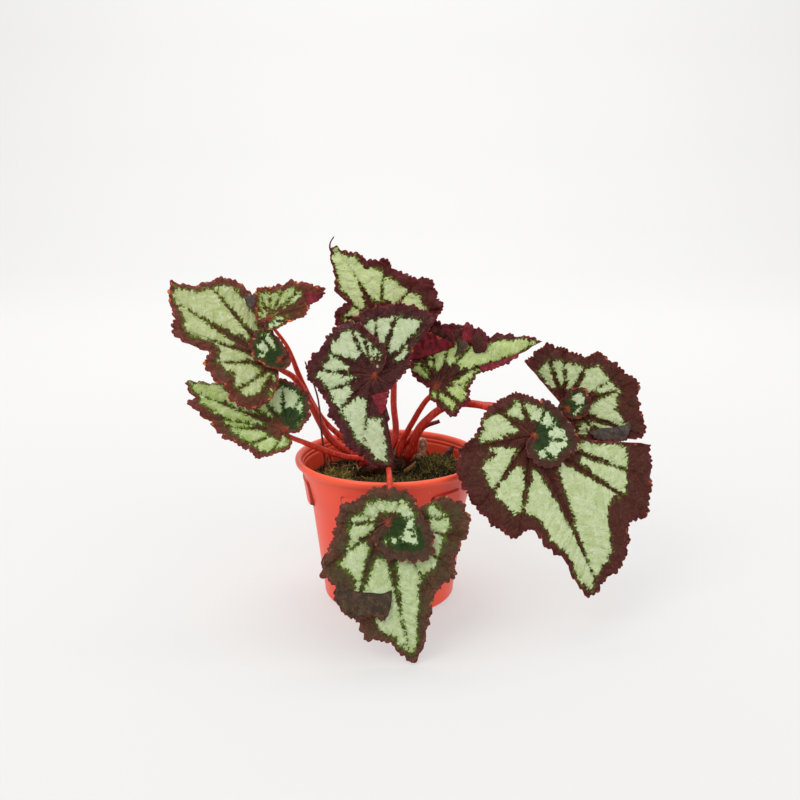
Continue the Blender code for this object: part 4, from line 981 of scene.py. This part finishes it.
def stalk(name, spec, seed):
    """A leaf stalk from the rhizome, up through the middle of its blade's spiral."""
    leaf_name, grows_at, way, route, radii = spec
    leaf = LEAVES[leaf_name]
    line = np.array(RHIZOME)
    seat = Vector((grows_at, float(np.interp(grows_at, line[:, 0], line[:, 1])), RHIZOME_HEIGHT))
    way = Vector(way)
    trunk = Vector((*(line[-1] - line[0]), 0.0)).normalized()
    outward = (way - trunk * way.dot(trunk)).normalized()
    start = seat + outward * (RHIZOME_RADIUS - 1.2)
    normal = leaf_axes(leaf["face"])[0]
    turns = (leaf["margin"][-1][0] - leaf["margin"][0][0]) / 360.0
    under = Vector(leaf["at"]) - normal * (leaf["turn"] * turns + 1.3)
    top = Vector(leaf["at"]) + normal * 0.25
    points = [tuple(start), tuple(start + outward * 6.0), *route, tuple(under - normal * 4.0), tuple(under), tuple(top)]
    length = sum((Vector(b) - Vector(a)).length for a, b in zip(points, points[1:]))
    bm = tube(points, (radii[0] * 1.15, radii[0] * 1.02, radii[0], radii[0] * 0.97, radii[1] * 1.05, radii[1] * 0.8),
              int(length / 1.1), around=24, ribs=0.025, lumps=0.06, seed=seed)
    obj = piece(name, bm, (STALK_SKIN,), 0)
    return fitted(obj, "stalk", name)


def wall_radius(height):
    """Outer radius of the pot's wall at a height."""
    return float(np.interp(height, WALL_HEIGHTS, WALL_RADII))


def spun(profile, steps):
    """A solid turned round Z from a profile of (radius, height) points."""
    bm = bmesh.new()
    points = [bm.verts.new((r * MM, 0.0, z * MM)) for r, z in profile]
    edges = [bm.edges.new(pair) for pair in zip(points, points[1:])]
    bmesh.ops.spin(bm, geom=[*points, *edges], angle=math.tau, steps=steps, axis=(0, 0, 1), cent=(0, 0, 0),
                   use_merge=True)
    bmesh.ops.remove_doubles(bm, verts=bm.verts, dist=0.00001)
    bmesh.ops.recalc_face_normals(bm, faces=bm.faces)
    return bm


def lug_height(x, y, z):
    """How far a stacking lug stands proud of the wall at a point, in millimetres."""
    bearing = math.degrees(math.atan2(x, -y))
    pitch = 360.0 / LUGS
    aside = (bearing - LUG_FIRST + pitch / 2.0) % pitch - pitch / 2.0
    half_tall = (LUG_HIGH - LUG_LOW) / 2.0
    half_wide = math.radians(LUG_HALF_WIDTH) * 53.0
    dx = abs(math.radians(aside) * 53.0) - half_wide + LUG_CORNER
    dz = abs(z - (LUG_HIGH + LUG_LOW) / 2.0) - half_tall + LUG_CORNER
    beyond = math.hypot(max(dx, 0.0), max(dz, 0.0)) + min(max(dx, dz), 0.0) - LUG_CORNER
    proud = float(np.interp(z, [p[0] for p in LUG_PROUD], [p[1] for p in LUG_PROUD]))
    return proud * (1.0 - float(step(-0.55, 0.25, beyond)))


def pot():
    """The moulded pot: rolled rim, ridges inside, stacking lugs and drain holes."""
    inside = [(0.0, FLOOR), (12.0, FLOOR), (BASE_RADIUS - WALL - 1.6, FLOOR), (BASE_RADIUS - WALL - 0.4, FLOOR + 0.5),
              (BASE_RADIUS - WALL, FLOOR + 1.6)]
    inside += [(wall_radius(z) - WALL, float(z)) for z in (20, 40, 60, 66, 72, 78, 84)]
    ridges = [(54.05, 85.6), (54.2, 86.1), (54.8, 86.5), (54.95, 86.9), (54.8, 87.3), (54.8, 88.3), (55.0, 88.7),
              (55.55, 88.95), (55.7, 89.3), (55.55, 89.7), (55.6, 90.6), (56.1, 91.7), (56.9, 92.6), (57.6, 92.95)]
    rim = [(58.3, POT_HEIGHT), (59.0, 92.9), (59.5, 92.55), (59.85, 92.0), (60.0, 91.3), (59.95, 90.4), (59.8, 89.7),
           (59.5, 89.2), (59.0, 88.95), (58.2, 88.8), (57.2, 88.7), (56.75, 88.4)]
    heights = [87.6, 86.6, 85.6, 84.0, 82.4, 81.4] + [80.8 - 0.55 * k for k in range(36)] + [60.0, 55.0, 45.0, 30.0, 15.0, 6.0, 3.0]
    outside = [(wall_radius(z), z) for z in heights]
    base = [(BASE_RADIUS - 0.05, 1.7), (BASE_RADIUS - 0.5, 0.8), (BASE_RADIUS - 1.1, 0.2), (BASE_RADIUS - 1.8, 0.0),
            (12.0, 0.0), (0.0, 0.0)]
    bm = spun(inside + ridges + rim + outside + base, POT_STEPS)
    for vert in bm.verts:
        x, y, z = vert.co / MM
        radius = math.hypot(x, y)
        if 60.5 < z < 81.2 and radius > wall_radius(z) - 0.5:
            proud = lug_height(x, y, z)
            vert.co.x += x / radius * proud * MM
            vert.co.y += y / radius * proud * MM
    obj = piece("pot_shell", bm, (plastic(),), 50.0)
    cutter = bmesh.new()
    for k in range(DRAINS):
        angle = math.tau * (k + 0.5) / DRAINS
        place = Matrix.Translation(Vector((math.cos(angle) * DRAIN_CIRCLE, math.sin(angle) * DRAIN_CIRCLE, 0)) * MM)
        bmesh.ops.create_cone(cutter, cap_ends=True, segments=40, radius1=DRAIN_RADIUS * MM,
                              radius2=DRAIN_RADIUS * MM, depth=8 * MM, matrix=place)
    pins = piece("drain_pins", cutter, ())
    cut = obj.modifiers.new("drains", "BOOLEAN")
    cut.operation = "DIFFERENCE"
    cut.solver = "EXACT"
    cut.object = pins
    bpy.context.view_layer.update()
    drilled = bpy.data.meshes.new_from_object(obj.evaluated_get(bpy.context.evaluated_depsgraph_get()))
    obj.modifiers.remove(cut)
    obj.data = drilled
    bpy.data.objects.remove(pins, do_unlink=True)
    return fitted(obj, "pot_plastic", "pot")


def potting_mix():
    """The mix that fills the pot, crumbly on top."""
    gap = WALL + 0.5
    low = FLOOR + 0.4
    top = [(r, MIX_TOP + MIX_DOME - max(0.0, r - 28.0) / 18.0) for r in np.arange(0.0, 46.0, 0.9)]
    profile = [*top, (46.0, MIX_TOP), (wall_radius(MIX_TOP) - gap, MIX_TOP - 0.8), (wall_radius(72.0) - gap, 72.0),
               (wall_radius(60.0) - gap, 60.0), (BASE_RADIUS - gap, low + 1.8), (BASE_RADIUS - gap - 1.8, low),
               (0.0, low)]
    bm = spun(profile, 200)
    for vert in bm.verts:
        if vert.co.z > (MIX_TOP - 2.2) * MM:
            crumb = noise.noise(vert.co * 260.0) * 0.9 + noise.noise(vert.co * 700.0) * 0.6
            vert.co.z += (crumb - 0.3) * MM
    return fitted(piece("mix_fill", bm, (soil(),), 0), "mix", "potting_mix")


def mix_bits():
    """Chips of bark and fibre scattered over the mix."""
    rng = np.random.default_rng(21)
    chip = bmesh.new()
    bmesh.ops.create_icosphere(chip, subdivisions=1, radius=1.0)
    template = bpy.data.meshes.new("chip")
    chip.to_mesh(template)
    chip.free()
    bm = bmesh.new()
    for _ in range(620):
        radius = 50.0 * math.sqrt(rng.uniform(0.02, 1.0))
        angle = rng.uniform(0, math.tau)
        size = rng.uniform(0.5, 1.5)
        shape = Matrix.Diagonal((size * rng.uniform(0.9, 2.6), size * rng.uniform(0.5, 1.0), size * rng.uniform(0.25, 0.6), 1.0))
        place = Matrix.Translation((radius * math.cos(angle), radius * math.sin(angle), MIX_TOP + 0.5 + rng.uniform(-0.3, 0.6)))
        tilt = Matrix.Rotation(rng.uniform(0, math.tau), 4, "Z") @ Matrix.Rotation(rng.uniform(-0.5, 0.5), 4, "X")
        chip_mesh = template.copy()
        chip_mesh.transform(Matrix.Scale(MM, 4) @ place @ tilt @ shape)
        bm.from_mesh(chip_mesh)
        bpy.data.meshes.remove(chip_mesh)
    bpy.data.meshes.remove(template)
    return fitted(piece("mix_bits", bm, (bark(),), 0), "mix")


def strand(rng):
    """One curved strand of moss, thick at the foot, in millimetres."""
    bm = bmesh.new()
    tip = bm.verts.layers.float.new("tip")
    tone = bm.verts.layers.float.new("tone")
    bmesh.ops.create_cone(bm, cap_ends=False, segments=3, radius1=0.42, radius2=0.12, depth=1.0,
                          matrix=Matrix.Translation((0, 0, 0.5)))
    sides = [edge for edge in bm.edges if abs(edge.verts[0].co.z - edge.verts[1].co.z) > 0.5]
    bmesh.ops.subdivide_edges(bm, edges=sides, cuts=2)
    length = rng.uniform(2.2, 5.4)
    bend = rng.uniform(0.3, 1.7)
    lean = rng.uniform(0.2, 1.2)
    heading = rng.uniform(0, math.tau)
    foot = Vector((rng.normal() * 1.1, rng.normal() * 1.1, -0.3))
    own = rng.uniform()
    for vert in bm.verts:
        x, y, t = vert.co
        vert[tip] = t
        vert[tone] = own
        reach = (lean * t + bend * t * t) * length * 0.5
        rise = length * (t - 0.32 * bend * t * t)
        vert.co = foot + Vector((x + math.cos(heading) * reach, y + math.sin(heading) * reach, rise))
    mesh = bpy.data.meshes.new("strand")
    bm.to_mesh(mesh)
    bm.free()
    return mesh


def moss_tuft(rng, strands):
    """A small tuft of strands, rooted at the origin."""
    bm = bmesh.new()
    for _ in range(strands):
        grown = strand(rng)
        bm.from_mesh(grown)
        bpy.data.meshes.remove(grown)
    mesh = bpy.data.meshes.new("tuft")
    bm.to_mesh(mesh)
    bm.free()
    return mesh


def moss(name, centre, radii, seed, yellow):
    """A low cushion of moss, thick with curled strands."""
    rng = np.random.default_rng(seed)
    bm = bmesh.new()
    bmesh.ops.create_uvsphere(bm, u_segments=48, v_segments=24, radius=1.0)
    for vert in bm.verts:
        x, y, z = vert.co
        bump = 1.0 + 0.07 * math.sin(5 * x + seed) * math.cos(4 * y - 2 * seed) + 0.08 * noise.noise(vert.co * 5.0)
        height = max(z, 0.0) * (radii[2] - 1.0) * bump
        vert.co = Vector((centre[0] + x * (radii[0] - 0.8) * bump, centre[1] + y * (radii[1] - 0.8) * bump,
                          MOSS_FOOT + height)) * MM
    bm.verts.layers.float.new("tip")
    bm.verts.layers.float.new("tone")
    tufts = [moss_tuft(rng, 9) for _ in range(7)]
    count = int(radii[0] * radii[1] * 1.1)
    for k in range(count):
        angle = k * GOLDEN_TURN
        spread = math.sqrt((k + 0.5) / count)
        x, y = spread * math.cos(angle), spread * math.sin(angle)
        height = math.sqrt(max(0.0, 1.0 - spread ** 2)) * (radii[2] - 1.4)
        place = Matrix.Translation((centre[0] + x * (radii[0] - 1.5), centre[1] + y * (radii[1] - 1.5), MOSS_FOOT + height - 0.4))
        lean = Matrix.Rotation(0.9 * spread, 4, Vector((-y, x, 0.001)))
        turn = Matrix.Rotation(rng.uniform(0, math.tau), 4, "Z")
        tuft = tufts[k % 7].copy()
        tuft.transform(Matrix.Scale(MM, 4) @ place @ lean @ turn @ Matrix.Scale(rng.uniform(0.6, 1.3), 4))
        bm.from_mesh(tuft)
        bpy.data.meshes.remove(tuft)
    for tuft in tufts:
        bpy.data.meshes.remove(tuft)
    return fitted(piece(name + "_strands", bm, (moss_fibre(name + "_fibre", yellow),), 0), "moss", name)


def moss_carpet():
    """Low loose moss over the rest of the mix, thinner on the left."""
    rng = np.random.default_rng(31)
    bm = bmesh.new()
    tufts = [moss_tuft(rng, 7) for _ in range(6)]
    spots = []
    for k in range(CARPET_TUFTS):
        spread = math.sqrt((k + 0.5) / CARPET_TUFTS)
        angle = k * GOLDEN_TURN
        x, y = 50.0 * spread * math.cos(angle), 50.0 * spread * math.sin(angle)
        if x < -8.0 and rng.uniform() < 0.6 or rng.uniform() < 0.1:
            continue
        spots.append((x, y, MIX_TOP + 0.6))
    for k in range(70):
        x = -20.0 + 30.0 * (k + 0.5) / 70
        y = float(np.interp(x, [p[0] for p in RHIZOME], [p[1] for p in RHIZOME]))
        lean = rng.uniform(-1.5, 0.6)
        spots.append((x, y + RHIZOME_RADIUS * math.sin(lean), RHIZOME_HEIGHT + RHIZOME_RADIUS * math.cos(lean) - 0.5))
    for k, spot in enumerate(spots):
        place = Matrix.Translation(spot)
        turn = Matrix.Rotation(rng.uniform(0, math.tau), 4, "Z") @ Matrix.Rotation(rng.uniform(0.0, 1.0), 4, "X")
        tuft = tufts[k % 6].copy()
        tuft.transform(Matrix.Scale(MM, 4) @ place @ turn @ Matrix.Scale(rng.uniform(0.6, 1.25), 4))
        bm.from_mesh(tuft)
        bpy.data.meshes.remove(tuft)
    for tuft in tufts:
        bpy.data.meshes.remove(tuft)
    return fitted(piece("moss_carpet", bm, (moss_fibre("moss_carpet_fibre", 0.35),), 0), "moss")


def small_stems():
    """Rhizome, bud, cut stalk, dry flower stalk, young shoot and stipule."""
    line = [(x, y, RHIZOME_HEIGHT) for x, y in RHIZOME]
    trunk = tube(line, (RHIZOME_RADIUS * 0.9, RHIZOME_RADIUS, RHIZOME_RADIUS, RHIZOME_RADIUS * 0.9), 60, 36, 0.0, 0.34, 3)
    fitted(piece("rhizome_stem", trunk, (rootstock("rhizome_cork", (58, 28, 16), (112, 62, 38)),), 0), "rhizome", "rhizome")
    bud = tube(((19.4, 23.4, 82.4), (23.0, 27.0, 88.0), (21.8, 29.0, 95.4)), (1.2, 1.5, 2.9, 2.2), 40, 24, 0.05, 0.25, 5)
    fitted(piece("bud_scales", bud, (rootstock("pale_bud", (168, 118, 92), (218, 184, 154)),), 0), "bud", "rhizome_bud")
    cut = tube(((16.4, 21.0, 86.0), (18.5, 23.5, 96.0), (22.6, 25.0, 103.0), (33.8, 26.0, 107.6)), (2.1, 1.7, 1.6, 1.3),
               40, 20, 0.03, 0.08, 7, round_tip=False)
    fitted(piece("cut_stub", cut, (stalk_skin("old_stalk", (150, 36, 26), (120, 40, 28), (70, 22, 18)),), 0), "stalk", "cut_stalk")
    twig = dry_stem("dry_stem", (92, 34, 22), (146, 66, 42))
    flower = tube(((-40.2, 2.0, 77.0), (-43.0, 1.0, 104.3), (-45.2, 0.0, 130.7), (-52.6, 0.0, 153.5)),
                  (0.85, 0.7, 0.6, 0.55, 0.45), 90, 12, 0.04, 0.25, 9)
    fitted(piece("flower_stem", flower, (twig,), 0), "dry_stalk", "dry_flower_stalk")
    branch = tube(((-37.0, 4.0, 77.0), (-38.0, 4.5, 88.0), (-40.0, 5.0, 96.0)), (0.6, 0.5, 0.4), 40, 12, 0.04, 0.25, 11)
    fitted(piece("flower_side_stem", branch, (twig,), 0), "dry_stalk", "dry_side_stalk")
    rng = np.random.default_rng(41)
    fibres = bmesh.new()
    for spot in ((15.5, 19.0, 85.5), (18.5, 20.5, 86.5), (13.0, 16.5, 85.0), (-20.5, -3.0, 84.5)):
        tuft = moss_tuft(rng, 6)
        place = Matrix.Translation(spot) @ Matrix.Rotation(rng.uniform(0.4, 1.2), 4, "X")
        tuft.transform(Matrix.Scale(MM, 4) @ place @ Matrix.Scale(1.1, 4))
        fibres.from_mesh(tuft)
        bpy.data.meshes.remove(tuft)
    fitted(piece("dry_fibres", fibres, (dry_stem("pale_fibre", (150, 112, 66), (226, 192, 140)),), 0), "stipule")
    shoot = tube(((38.0, 27.0, 77.0), (39.5, 28.0, 83.0), (43.6, 30.0, 89.5)), (1.6, 2.5, 2.0, 0.7), 40, 20, 0.08, 0.3, 13)
    fitted(piece("shoot_leaf", shoot, (rootstock("young_shoot_skin", (58, 20, 24), (104, 42, 44)),), 0), "shoot", "young_shoot")
    scale = tube(((10.0, 6.3, 78.6), (14.0, 5.6, 81.5), (17.5, 5.0, 86.0)), (1.0, 1.5, 1.1, 0.4), 30, 14, 0.15, 0.3, 15)
    fitted(piece("stipule_scale", scale, (dry_stem("papery_scale", (150, 96, 54), (206, 160, 108)),), 0), "stipule", "dry_stipule")


# Studio.

def studio():
    """Pale sweep, soft lights and the camera."""
    bm = bmesh.new()
    profile = [(-2.5, 0.0), (1.6, 0.0), (2.0, 0.04), (2.3, 0.15), (2.6, 0.4), (2.8, 0.8), (2.85, 1.4), (2.85, 3.2)]
    points = [bm.verts.new((-4.0, y, z)) for y, z in profile]
    edges = [bm.edges.new(pair) for pair in zip(points, points[1:])]
    made = bmesh.ops.extrude_edge_only(bm, edges=edges)["geom"]
    bmesh.ops.translate(bm, verts=[g for g in made if isinstance(g, bmesh.types.BMVert)], vec=(8.0, 0.0, 0.0))
    bmesh.ops.recalc_face_normals(bm, faces=bm.faces)
    piece("studio_sweep", bm, (studio_floor(),), 0)
    world = bpy.data.worlds.new("studio")
    world.use_nodes = True
    world.node_tree.nodes["Background"].inputs[0].default_value = (1.0, 0.99, 0.98, 1.0)
    world.node_tree.nodes["Background"].inputs[1].default_value = 0.72
    bpy.context.scene.world = world
    bpy.context.scene.view_settings.view_transform = "Standard"
    for name, place, target, size, power in (
            ("key", (-0.9, -1.1, 1.5), (0, 0, 0.1), 1.1, 15.5),
            ("fill", (1.3, -1.2, 0.9), (0, 0, 0.1), 1.4, 6.5),
            ("top", (0.1, 0.5, 1.7), (0, 0, 0.1), 1.4, 7.5),
            ("backdrop", (0.0, 1.3, 2.5), (0, 2.9, 0.95), 2.2, 56.0)):
        lamp = bpy.data.lights.new(name, "AREA")
        lamp.size = size
        lamp.energy = power
        obj = bpy.data.objects.new(name, lamp)
        bpy.context.scene.collection.objects.link(obj)
        obj.location = place
        obj.rotation_euler = (Vector(target) - Vector(place)).to_track_quat("-Z", "Y").to_euler()
    lens = bpy.data.cameras.new("camera")
    lens.lens = LENS
    lens.sensor_width = SENSOR
    lens.sensor_fit = "HORIZONTAL"
    lens.clip_start = 0.02
    camera = bpy.data.objects.new("camera", lens)
    bpy.context.scene.collection.objects.link(camera)
    camera.location = EYE
    camera.rotation_euler = (math.radians(90.0 - LOOK_DOWN), 0.0, 0.0)
    bpy.context.scene.camera = camera


studio()
pot()
potting_mix()
mix_bits()
for moss_name, (moss_centre, moss_radii, moss_seed, moss_yellow) in MOSS.items():
    moss(moss_name, moss_centre, moss_radii, moss_seed, moss_yellow)
moss_carpet()
STALK_SKIN = stalk_skin("stalk_skin", (174, 36, 20), (204, 58, 34), (104, 18, 12))
for stalk_seed, (stalk_name, stalk_spec) in enumerate(STALKS.items()):
    stalk(stalk_name, stalk_spec, stalk_seed)
small_stems()
for leaf_seed, (leaf_name, leaf_spec) in enumerate(LEAVES.items()):
    blade(leaf_name, leaf_spec, 100 + leaf_seed)
FOLD_SKINS = {tone: fold_skin(tone) for tone in FOLD_TONES}
for fold_seed, (fold_name, fold_spec) in enumerate(FOLDS.items()):
    fold(fold_name, fold_spec, 300 + fold_seed)
tip_thread()
